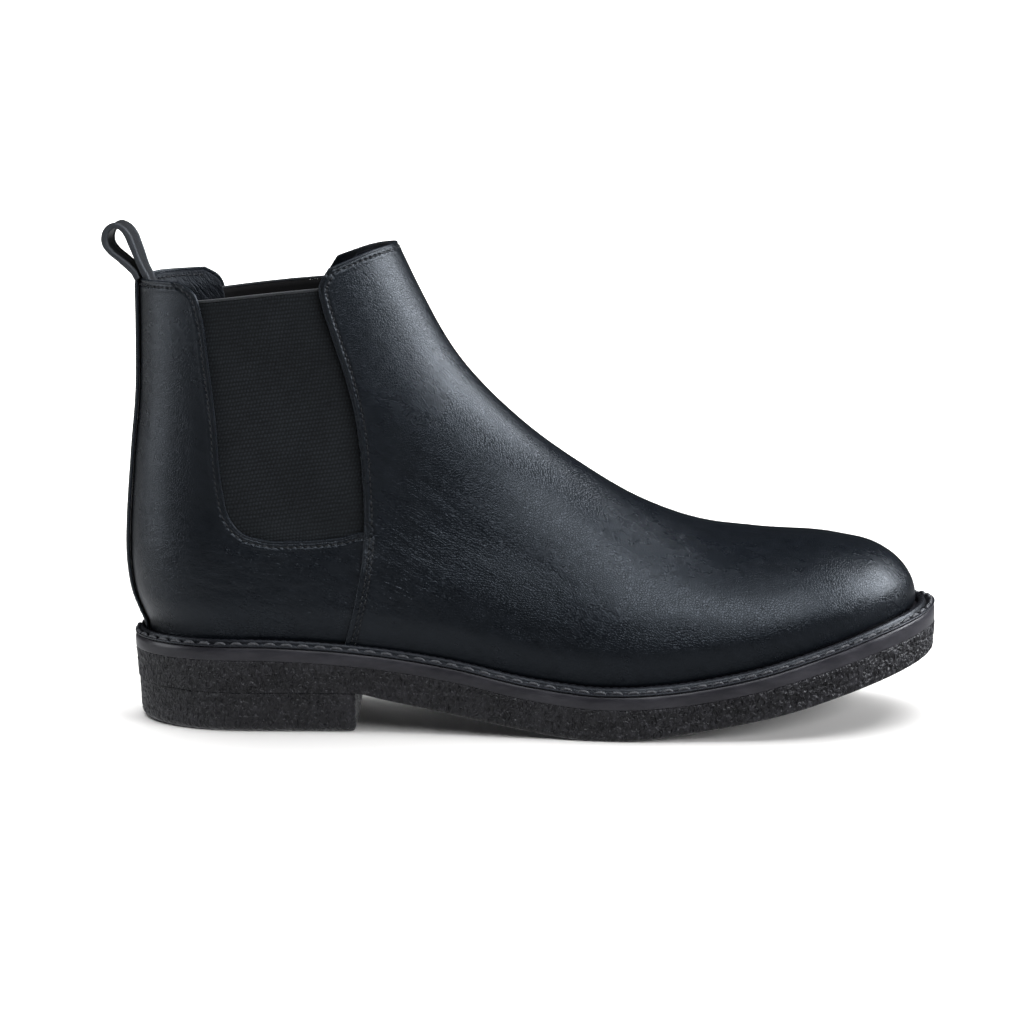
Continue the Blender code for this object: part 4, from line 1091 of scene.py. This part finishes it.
def add_sock_liner():
    """The leather sock on the insole, raised by the cushion under the heel."""
    def height(rise):
        return lambda x: band_top(x) + rise + 3.3 * (1 - smoothstep(x, 72.0, 105.0))

    levels = [(13.6, 16.4, height(4.7)), (13.2, 16.0, height(5.0)), (13.2, 16.0, height(5.8)),
              (13.4, 16.2, height(6.1)), (13.9, 16.7, height(6.2))]
    points, faces = loft(levels, turns(520), (1, 44))
    crown = points[:, 2] > height(6.15)(points[:, 0])
    points[crown, 2] += 0.12 * noise_at(points[crown], (0.06, 0.06, 0.0), 9.0) - 0.1
    add_piece("sock_leather", points, faces, INNER_LEATHER, "lining_leather", "boot", ["sock_liner"])


# The upper

def along(points, first=0.0, last=1.0, count=80):
    """A seam's (angle, share) line on the lateral side, from the bottom up."""
    angle, share = seam(points, np.linspace(first, last, count))
    return np.column_stack([-angle, share])


def twin(line, centre):
    """A lateral line's twin across the boot's front or back."""
    return np.column_stack([2 * centre - line[:, 0], line[:, 1]])


def straight(start, end, count=80):
    share = np.linspace(0, 1, count)[:, None]
    return np.array(start) + (np.array(end) - np.array(start)) * share


def constant(depth):
    return lambda base: np.full(len(base), depth)


def faded(base, x, z, reach_x, reach_z):
    """How near points are to a place in side view, from 1 there to 0."""
    return np.exp(-((base[:, 0] - x) / reach_x) ** 2 - ((base[:, 2] - z) / reach_z) ** 2)


def creases(base, slant, wide, long, seed):
    """Sharp folds with round tops, running down towards the toe at a slant in degrees."""
    turn = math.radians(slant)
    across = base[:, 0] * math.sin(turn) + base[:, 2] * math.cos(turn)
    run = base[:, 0] * math.cos(turn) - base[:, 2] * math.sin(turn)
    place = np.column_stack([run, base[:, 1] * 0.7, across])
    bend = noise_at(place, (0.5 / long, 0.5 / long, 0.5 / wide), seed + 4.0)
    line = noise_at(place, (1 / long, 1 / long, 1 / wide), seed) + 0.25 * bend
    return np.exp(-(line / 0.36) ** 2) - 0.45


# Creases: their depth, where they are with how far they reach, and their slant, width, length and seed
VAMP_CREASES = [(0.24, (116.0, 80.0, 20.0, 20.0), (34.0, 6.0, 30.0, 11.0)),
                (0.16, (100.0, 60.0, 20.0, 16.0), (30.0, 5.0, 24.0, 17.0)),
                (0.14, (150.0, 60.0, 34.0, 22.0), (28.0, 9.0, 44.0, 23.0)),
                (0.16, (205.0, 58.0, 34.0, 16.0), (70.0, 8.0, 30.0, 37.0))]
QUARTER_CREASES = [(0.20, (54.0, 58.0, 30.0, 10.0), (12.0, 4.0, 20.0, 41.0)),
                   (0.14, (20.0, 62.0, 20.0, 18.0), (-8.0, 6.0, 26.0, 43.0))]


def crease_relief(base, table):
    return sum(depth * faded(base, *where) * creases(base, *how) for depth, where, how in table)


def vamp_relief(base):
    return 0.30 * noise_at(base, (0.028, 0.028, 0.034), 2.0) + crease_relief(base, VAMP_CREASES)


def quarter_relief(base):
    """Low undulation, creases, and the pucker where the elastic's lower edge is sewn in behind."""
    pucker = bell(base[:, 0], 84.0, 6.0) * (0.5 + noise_at(base, (0.10, 0.10, 0.16), 47.0))
    return (0.26 * noise_at(base, (0.035, 0.035, 0.030), 8.0) + crease_relief(base, QUARTER_CREASES)
            + 0.45 * pucker * (base[:, 2] < 74))


def lining_relief(base):
    low = 0.35 * noise_at(base, (0.05, 0.05, 0.08), 51.0)
    pucker = 0.55 * creases(base, 65.0, 3.6, 12.0, 53.0) * smoothstep(base[:, 2], 140.0, 158.0)
    return low + pucker


def sew(name, meshes, body="boot"):
    return add_piece(name, *joined(meshes), SEAM_THREAD, "thread", body)


def add_vamp():
    side = along(VAMP_SEAM, count=160)
    other = twin(side, -math.pi)
    low, high = side[0], side[-1]
    rows_split = 0.31
    cut = int(rows_split * (len(side) - 1))
    foot_seams = [Edge(side[:cut + 1], (2.3, 3.7), 2.4), Edge(other[cut::-1], (2.3, 3.7), 2.4)]
    shaft_seams = [Edge(side[cut:], (2.9,), 2.3, 0.95, 1.8), Edge(other[:cut - 1:-1], (2.9,), 2.3, 0.95, 1.8)]
    collar = Edge(straight(high, other[-1]), (2.3,), 2.5, 1.15)
    hem = Edge(straight(other[0], low))
    edges = [foot_seams[0], shaft_seams[0], collar, shaft_seams[1], foot_seams[1], hem]
    points, faces, edge, turn = skin(edges, 1.9, constant(0.0), LEATHER, vamp_relief)
    add_piece("vamp_leather", points, faces, UPPER, "upper_leather", "boot", ["vamp"], edge)
    sew("vamp_stitches", [stitches(one, turn, 0.0) for one in edges if one.rows])

    side = along(LINING_SEAM)
    side[:, 1] = np.minimum(side[:, 1], 0.992)
    other = twin(side, -math.pi)
    edges = [Edge(side), Edge(straight(side[-1], other[-1]), (1.6,), 2.5), Edge(other[::-1]),
             Edge(straight(other[0], side[0]))]

    def outer(base):
        thinned = smoothstep(base[:, 2], 165.0, 175.0) * smoothstep(base[:, 0], 84.0, 90.0)
        return VAMP_LINING_DEPTH - 2.7 * thinned

    points, faces, edge, _ = skin(edges, 3.0, outer, LINING, lining_relief)
    add_piece("vamp_lining_leather", points, faces, INNER_LEATHER, "lining_leather", "boot",
              ["vamp_lining"], edge)


def forward(line):
    """A quarter's edge as it runs on the medial side, where the top reaches further forward."""
    return [(x + 5.0 * float(smoothstep(z, 120.0, 160.0)), z) for x, z in line]


def raised(points):
    """The medial side of the collar stands a little higher."""
    x, y, z = points.T
    rise = smoothstep(z, 150.0, 166.0) * smoothstep(y, 3.0, 16.0) * (1 - smoothstep(x, 30.0, 42.0))
    flat = np.zeros_like(x)
    return points + np.column_stack([flat, flat, 1.4 * rise])


def add_quarter(name, mirror):
    edge_line = along(QUARTER_EDGE, count=200)
    back_low, back_high = (-SEAM_ANGLE, 0.0), (-SEAM_ANGLE, 1.0)
    if mirror:
        edge_line = along(forward(QUARTER_EDGE), count=200)
    lines = [straight(back_low, edge_line[0]), edge_line, straight(edge_line[-1], back_high),
             straight(back_high, back_low)]
    if mirror:
        lines = [twin(line, 0.0) for line in lines]
    edges = [Edge(lines[0]), Edge(lines[1], (2.15,), 2.5, 0.95), Edge(lines[2], (2.3,), 2.4, 1.35),
             Edge(lines[3])]
    points, faces, edge, turn = skin(edges, 1.5, constant(QUARTER_DEPTH), LEATHER, quarter_relief)
    lean(add_piece(f"{name}_leather", raised(points), faces, UPPER, "upper_leather", None,
                   [name, f"{name}_upper"], edge))
    threads = [stitches(one, turn, QUARTER_DEPTH) for one in edges if one.rows]
    lean(sew(f"{name}_stitches", [(raised(points), faces) for points, faces in threads], None))


def add_back_strip():
    shares = np.linspace(0, 1, 120)
    x, z = back(shares)
    side = np.column_stack([-locate(np.column_stack([x + STRIP_DEPTH, z]))[0], shares])
    other = twin(side, 0.0)
    edges = [Edge(side, (1.9,), 2.4, 0.85), Edge(straight(side[-1], other[-1], 20)),
             Edge(other[::-1], (1.9,), 2.4, 0.85), Edge(straight(other[0], side[0], 20))]
    points, faces, edge, turn = skin(edges, 1.5, constant(0.0), LEATHER,
                                     lambda base: 0.12 * noise_at(base, (0.05, 0.05, 0.05), 61.0))
    lean(add_piece("back_strip_leather", points, faces, UPPER, "upper_leather", None,
                   ["back_strip", "back_strip_upper"], edge))
    lean(sew("back_strip_stitches", [stitches(one, turn, 0.0) for one in edges if one.rows], None))


def add_quarter_lining():
    side = along(REAR_LINING_EDGE, count=120)
    side[:, 1] = np.minimum(side[:, 1], 0.992)
    other = twin(along(forward(REAR_LINING_EDGE), count=120), 0.0)
    other[:, 1] = np.minimum(other[:, 1], 0.992)
    edges = [Edge(side, (2.0,), 2.6, 0.9), Edge(straight(side[-1], other[-1]), (1.6,), 2.6),
             Edge(other[::-1], (2.0,), 2.6, 0.9), Edge(straight(other[0], side[0]))]

    def outer(base):
        height = base[:, 2]
        thinned = 1.2 * smoothstep(height, 70.0, 84.0) + 1.5 * smoothstep(height, 160.0, 166.0)
        return REAR_LINING_DEPTH - thinned

    points, faces, edge, turn = skin(edges, 1.6, outer, LINING, lining_relief)
    lean(add_piece("quarter_lining_leather", raised(points), faces, INNER_LEATHER, "lining_leather", None,
                   ["heel_lining", "heel_lining_upper"], edge))
    points, faces = stitches(edges[1], turn, LINING_STITCH_DEPTH)
    lean(sew("quarter_lining_stitches", [(raised(points), faces)], None))


def gusset_grid(columns, rows, count=24):
    """Angles and height shares over the gusset, from its rear edge to its front and from the bottom up."""
    at = np.linspace(0, 1, count)
    rear, front = np.column_stack(path(GUSSET_REAR)(at)), np.column_stack(path(GUSSET_FRONT)(at))
    share = np.linspace(0, 1, count)[:, None]
    coarse = np.concatenate([r + (f - r) * share for r, f in zip(rear, front)])
    angle, height = [part.reshape(count, count) for part in locate(coarse)]
    to_column, to_row = np.linspace(0, 1, columns), np.linspace(0, 1, rows)
    fine = []
    for part in (angle, height):
        wide = np.array([np.interp(to_column, at, line) for line in part])
        fine.append(np.array([np.interp(to_row, at, line) for line in wide.T]).T)
    return fine


def slab(outer, inner, flip):
    """Two sheets, each a grid of points, joined round their rim."""
    grid = np.arange(outer[..., 0].size).reshape(outer.shape[:2])
    faces = np.stack([grid[:-1, :-1], grid[:-1, 1:], grid[1:, 1:], grid[1:, :-1]], axis=-1).reshape(-1, 4)
    rim_line = np.concatenate([grid[0, :-1], grid[:-1, -1], grid[-1, :0:-1], grid[:0:-1, 0]])
    ahead = np.roll(rim_line, -1)
    rim_faces = np.column_stack([ahead, rim_line, rim_line + grid.size, ahead + grid.size])
    faces = np.concatenate([faces, faces[:, ::-1] + grid.size, rim_faces])
    points = np.concatenate([outer.reshape(-1, 3), inner.reshape(-1, 3)])
    return points, (faces[:, ::-1] if flip else faces).tolist()


def add_gusset(side, mirror):
    """The elastic panel: woven cells outside, a plain backing inside, and piping on its top edge."""
    cells = 51, 70
    columns, rows = 3 * cells[0] + 1, 3 * cells[1] + 1
    angle, share = gusset_grid(columns, rows)
    angle = angle if mirror else -angle
    u, v = np.meshgrid(np.arange(columns) / 3, np.arange(rows) / 3)
    base = surface(angle, share).reshape(-1, 3)
    drift = [0.22 * noise_at(base, (0.30, 0.30, 0.45), seed).reshape(angle.shape) for seed in (75.0, 77.0)]
    u, v = u + drift[0] + 0.5 * (np.floor(v + drift[1]) % 2), v + drift[1]
    lump = (0.5 - 0.5 * np.cos(2 * math.pi * u)) * (0.5 - 0.5 * np.cos(2 * math.pi * v))
    wave = 0.22 * noise_at(base, (0.05, 0.05, 0.04), 71.0).reshape(angle.shape)
    outer = layer(angle, share, WEAVE_DEPTHS[0] + 0.42 * (1 - np.sqrt(lump)) + wave)
    inner = layer(angle, share, np.full(angle.shape, WEAVE_DEPTHS[1]))
    # Painted shade between the woven cells, darkest in the gaps.
    shade = np.concatenate([(lump.ravel() - 1) * 0.9, np.zeros(lump.size)])
    stretch(add_piece(f"gusset_{side}_weave", *slab(outer, inner, mirror), ELASTIC, "elastic", None,
                      [f"gusset_{side}"], shade))

    thin = np.linspace(0, columns - 1, columns // 3).astype(int)
    tall = np.linspace(0, rows - 1, rows // 3).astype(int)
    angle, share = angle[np.ix_(tall, thin)], share[np.ix_(tall, thin)]
    wave = 0.15 * noise_at(surface(angle, share).reshape(-1, 3), (0.06, 0.06, 0.05), 73.0)
    wave = wave.reshape(angle.shape)
    outer = layer(angle, share, np.full(angle.shape, BACKING_DEPTHS[0]))
    inner = layer(angle, share, BACKING_DEPTHS[1] + wave * 0.5)
    stretch(add_piece(f"gusset_{side}_backing", *slab(outer, inner, mirror), ELASTIC_BACK, "elastic"))

    ends = np.array([GUSSET_REAR[-1], GUSSET_FRONT[-1]]) + (0, 0.55)
    angle, share = locate(np.linspace(*ends, 120))
    angle = angle if mirror else -angle
    centres = layer(angle, share, np.full(len(angle), PIPING_DEPTH))[None]
    out = surface(angle, share)[None] - centres
    out /= np.linalg.norm(out, axis=-1, keepdims=True)
    stretch(add_piece(f"gusset_{side}_piping", *tubes(centres, out, 0.55, 10), PIPING, "elastic", None,
                      [f"gusset_binding_{side}"]))


def add_pull_tab():
    """The pull strap: a loop whose two legs run down inside the collar, with turned and stitched edges."""
    x, z = path(STRAP_LINE)(np.linspace(0, 1, 150))
    ahead = np.gradient(np.column_stack([x, z]), axis=0)
    ahead /= np.linalg.norm(ahead, axis=1, keepdims=True)
    out = np.column_stack([-ahead[:, 1], ahead[:, 0]])
    half = TAB_WIDTH / 2
    thick = TAB_THICKNESS / 2
    y = np.linspace(-half + 0.45, half - 0.45, 33)
    off = thick - 0.20 + 0.30 * bell(np.abs(y), half - 1.0, 0.75) - 0.22 * bell(np.abs(y), half - 2.5, 0.35)
    turn = np.linspace(0, math.pi, 9)[1:-1]
    side_y = half - 0.45 + 0.45 * np.sin(turn)
    side_off = (thick - 0.05) * np.cos(turn)
    section_y = np.concatenate([y, side_y, y[::-1], -side_y[::-1]])
    section_off = np.concatenate([off, side_off, -off[::-1], side_off[::-1]])
    # Painted highlight on the strap's raised edges and rounded sides, painted shade in its stitch grooves.
    side_shade = np.full(len(turn), thick)
    shade = np.concatenate([off, side_shade, off[::-1], side_shade])
    shade = np.clip((shade - thick + 0.2) * 2.0, -1, 0.5)
    run = running_length(np.column_stack([x, z]))
    rows, count = len(x), len(section_y)
    twist = TAB_TWIST * smoothstep(z, 168.0, 177.0)
    wave = 0.10 * np.sin(run / 2.3)[:, None] * bell(np.abs(section_y), half - 1.0, 0.7)
    points = np.empty((rows, count, 3))
    depth = section_off + wave * np.sign(section_off)
    points[..., 0] = x[:, None] + out[:, :1] * depth + twist[:, None] * section_y
    points[..., 1] = section_y * (1 + 0.015 * noise_at(np.column_stack([x, x, z]), (0.2, 0.2, 0.2)))[:, None]
    points[..., 2] = z[:, None] + out[:, 1:] * depth
    faces = []
    for low in range(0, (rows - 1) * count, count):
        faces += ring_faces(count, low, low + count)
    faces += [tuple(range(count))[::-1], tuple(range((rows - 1) * count, rows * count))]
    swing(add_piece("pull_strap", points.reshape(-1, 3), faces, TAB_LEATHER, "upper_leather", None,
                    ["pull_tab"], np.tile(shade, rows)))
    threads = []
    for side in (-1, 1):
        for face in (-1, 1):
            middles = np.arange(34.0, run[-1] - 4.0, 2.6)
            along_stitch = np.linspace(-0.5, 0.5, 7)
            at = middles[:, None] + 1.8 * along_stitch
            cx, cz, ox, oz = [np.interp(at, run, part) for part in (x, z, out[:, 0], out[:, 1])]
            lift = face * (thick - 0.26 - 0.4 * np.abs(2 * along_stitch) ** 3)
            across = np.full_like(cx, side * (half - 2.5))
            turned = cx + ox * lift + np.interp(at, run, twist) * across
            centres = np.stack([turned, across, cz + oz * lift], axis=-1)
            threads.append(tubes(centres, np.stack([ox * face, np.zeros_like(ox), oz * face], axis=-1), 0.22))
    swing(sew("pull_strap_stitches", threads, None))


def swing(made):
    """Bakes the piece's place into its mesh; the strap's swing points are worked out but not used."""
    [world((6.0, 0.0, z)).tolist() for z in (168.3, 173.0)]
    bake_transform(made)


# The studio

def aim(made, place, target):
    made.location = place
    made.rotation_euler = (Vector(target) - Vector(place)).to_track_quat("-Z", "Y").to_euler()


def add_light(name, place, target, size, power, reflected, unlit):
    lamp = bpy.data.lights.new(name, "AREA")
    lamp.shape = "RECTANGLE"
    lamp.size, lamp.size_y = size
    lamp.energy = power
    lamp.color = (0.93, 0.96, 1.0) if reflected else (1.0, 1.0, 1.0)
    made = bpy.data.objects.new(name, lamp)
    bpy.context.scene.collection.objects.link(made)
    made.visible_glossy = reflected
    if reflected:
        made.light_linking.receiver_collection = unlit
    aim(made, place, target)


def add_floor():
    """A pale sweep: a flat floor that curves up into a backdrop, with a painted glow that makes it brighter
    away from the boot.
    """
    profile = [(-0.36, 0.0), (SWEEP_START, 0.0)]
    profile += [(SWEEP_START + SWEEP_RADIUS * math.sin(a), SWEEP_RADIUS - SWEEP_RADIUS * math.cos(a))
                for a in np.linspace(0.1, math.pi / 2, 14)]
    profile += [(SWEEP_START + SWEEP_RADIUS, SWEEP_TOP)]
    points = [(x, y, z) for y, z in profile for x in (-HALF_FLOOR, HALF_FLOOR)]
    faces = [(2 * i, 2 * i + 1, 2 * i + 3, 2 * i + 2) for i in range(len(profile) - 1)]
    mesh = bpy.data.meshes.new("studio_floor")
    mesh.from_pydata(points, [], faces)
    mesh.shade_smooth()
    looks, shader, add, place = begin("studio_paper", 0.9, 0.1)
    shader.inputs["Base Color"].default_value = (0.9, 0.895, 0.89, 1.0)
    reach = add("ShaderNodeVectorMath", {0: stretched(add, place, (1.0, 1.6, 1.0))}, operation="LENGTH")
    glow = ramp(add, reach.outputs["Value"], *GLOW_REACH, *FLOOR_GLOW)
    shader.inputs["Emission Color"].default_value = (1.0, 1.0, 1.0, 1.0)
    looks.node_tree.links.new(glow, shader.inputs["Emission Strength"])
    mesh.materials.append(looks)
    floor = bpy.data.objects.new("studio_floor", mesh)
    bpy.context.scene.collection.objects.link(floor)
    floor.visible_glossy = False
    unlit = bpy.data.collections.new("not_lit_by_softboxes")
    unlit.objects.link(floor)
    unlit.collection_objects[0].light_linking.link_state = "EXCLUDE"
    return unlit


def add_camera():
    eye = bpy.data.cameras.new("camera")
    eye.lens, eye.sensor_width = LENS, SENSOR
    made = bpy.data.objects.new("camera", eye)
    made.location = Vector(EYE) + Vector(ORIGIN)
    made.rotation_euler = (math.radians(90 - EYE_DIP), 0.0, 0.0)
    bpy.context.scene.collection.objects.link(made)
    bpy.context.scene.camera = made


def add_sky():
    """What glossy surfaces see round the boot: dim overhead, and paler below and towards the heel."""
    sky = bpy.data.worlds.new("studio")
    sky.use_nodes = True
    add = nodes(sky)
    way = add("ShaderNodeSeparateXYZ", {0: add("ShaderNodeTexCoord").outputs["Generated"]})
    below = ramp(add, way.outputs["Z"], -0.07, -0.22, SKY_ABOVE, SKY_BELOW)
    heelward = ramp(add, way.outputs["X"], 0.6, -0.8, 0.9, 1.3)
    strength = reckon(add, "MULTIPLY", below, heelward)
    shader = sky.node_tree.nodes["Background"]
    shader.inputs["Color"].default_value = (0.95, 0.97, 1.0, 1.0)
    sky.node_tree.links.new(strength, shader.inputs["Strength"])
    bpy.context.scene.world = sky


def add_studio():
    add_sky()
    bpy.context.scene.view_settings.view_transform = "Standard"
    unlit = add_floor()
    for light in LIGHTS:
        add_light(*light, unlit)
    add_camera()


# The camera's place from the back of the sole, in metres, and its dip in degrees
EYE, EYE_DIP = (0.1439, -1.1, 0.2703), 9.95
LENS, SENSOR = 103.3, 36.0
SKY_ABOVE, SKY_BELOW = 0.02, 0.80
# Painted glow: the floor's emission near the boot and far from it, across GLOW_REACH in metres.
FLOOR_GLOW = (0.0, 0.95)
GLOW_REACH = (0.40, 1.20)
SWEEP_START, SWEEP_RADIUS, SWEEP_TOP, HALF_FLOOR = 1.2, 0.8, 3.0, 3.0

# Lamps: place, target, size, power, and whether glossy surfaces reflect it
LIGHTS = [
    ("overhead", (0.05, 0.30, 1.4), (0.0, 0.05, 0.0), (2.2, 1.7), 50.0, False),
    ("toe_fill", (0.95, -0.65, 0.52), (0.1, 0.0, 0.02), (0.5, 0.5), 11.0, False),
    ("toe_softbox", (1.06, 0.08, 0.70), (0.02, 0.0, 0.08), (0.66, 0.76), 31.0, True),
    ("front_softbox", (0.30, -0.92, 1.10), (0.04, 0.0, 0.08), (0.80, 0.60), 17.0, True),
    ("heel_softbox", (-1.05, -0.12, 0.28), (-0.08, 0.0, 0.08), (0.50, 0.50), 4.2, True),
]


def main():
    add_outsole()
    add_heel_block()
    add_band()
    add_welt()
    add_sock_liner()
    add_vamp()
    add_quarter("quarter_lateral", False)
    add_quarter("quarter_medial", True)
    add_back_strip()
    add_quarter_lining()
    add_gusset("lateral", False)
    add_gusset("medial", True)
    add_pull_tab()
    for number in range(1, 6):
        frame["nodes"][f"heel_nail_{number}"].data.materials[0] = INSIDES["steel"]
    for node, looks in (("insole_board", "board"), ("bottom_filler", "cork"), ("heel_cushion", "foam"),
                        ("toe_puff", "stiffener"), ("heel_counter", "stiffener"), ("shank", "steel")):
        frame["nodes"][node].data.materials[0] = INSIDES[looks]
    add_studio()


main()
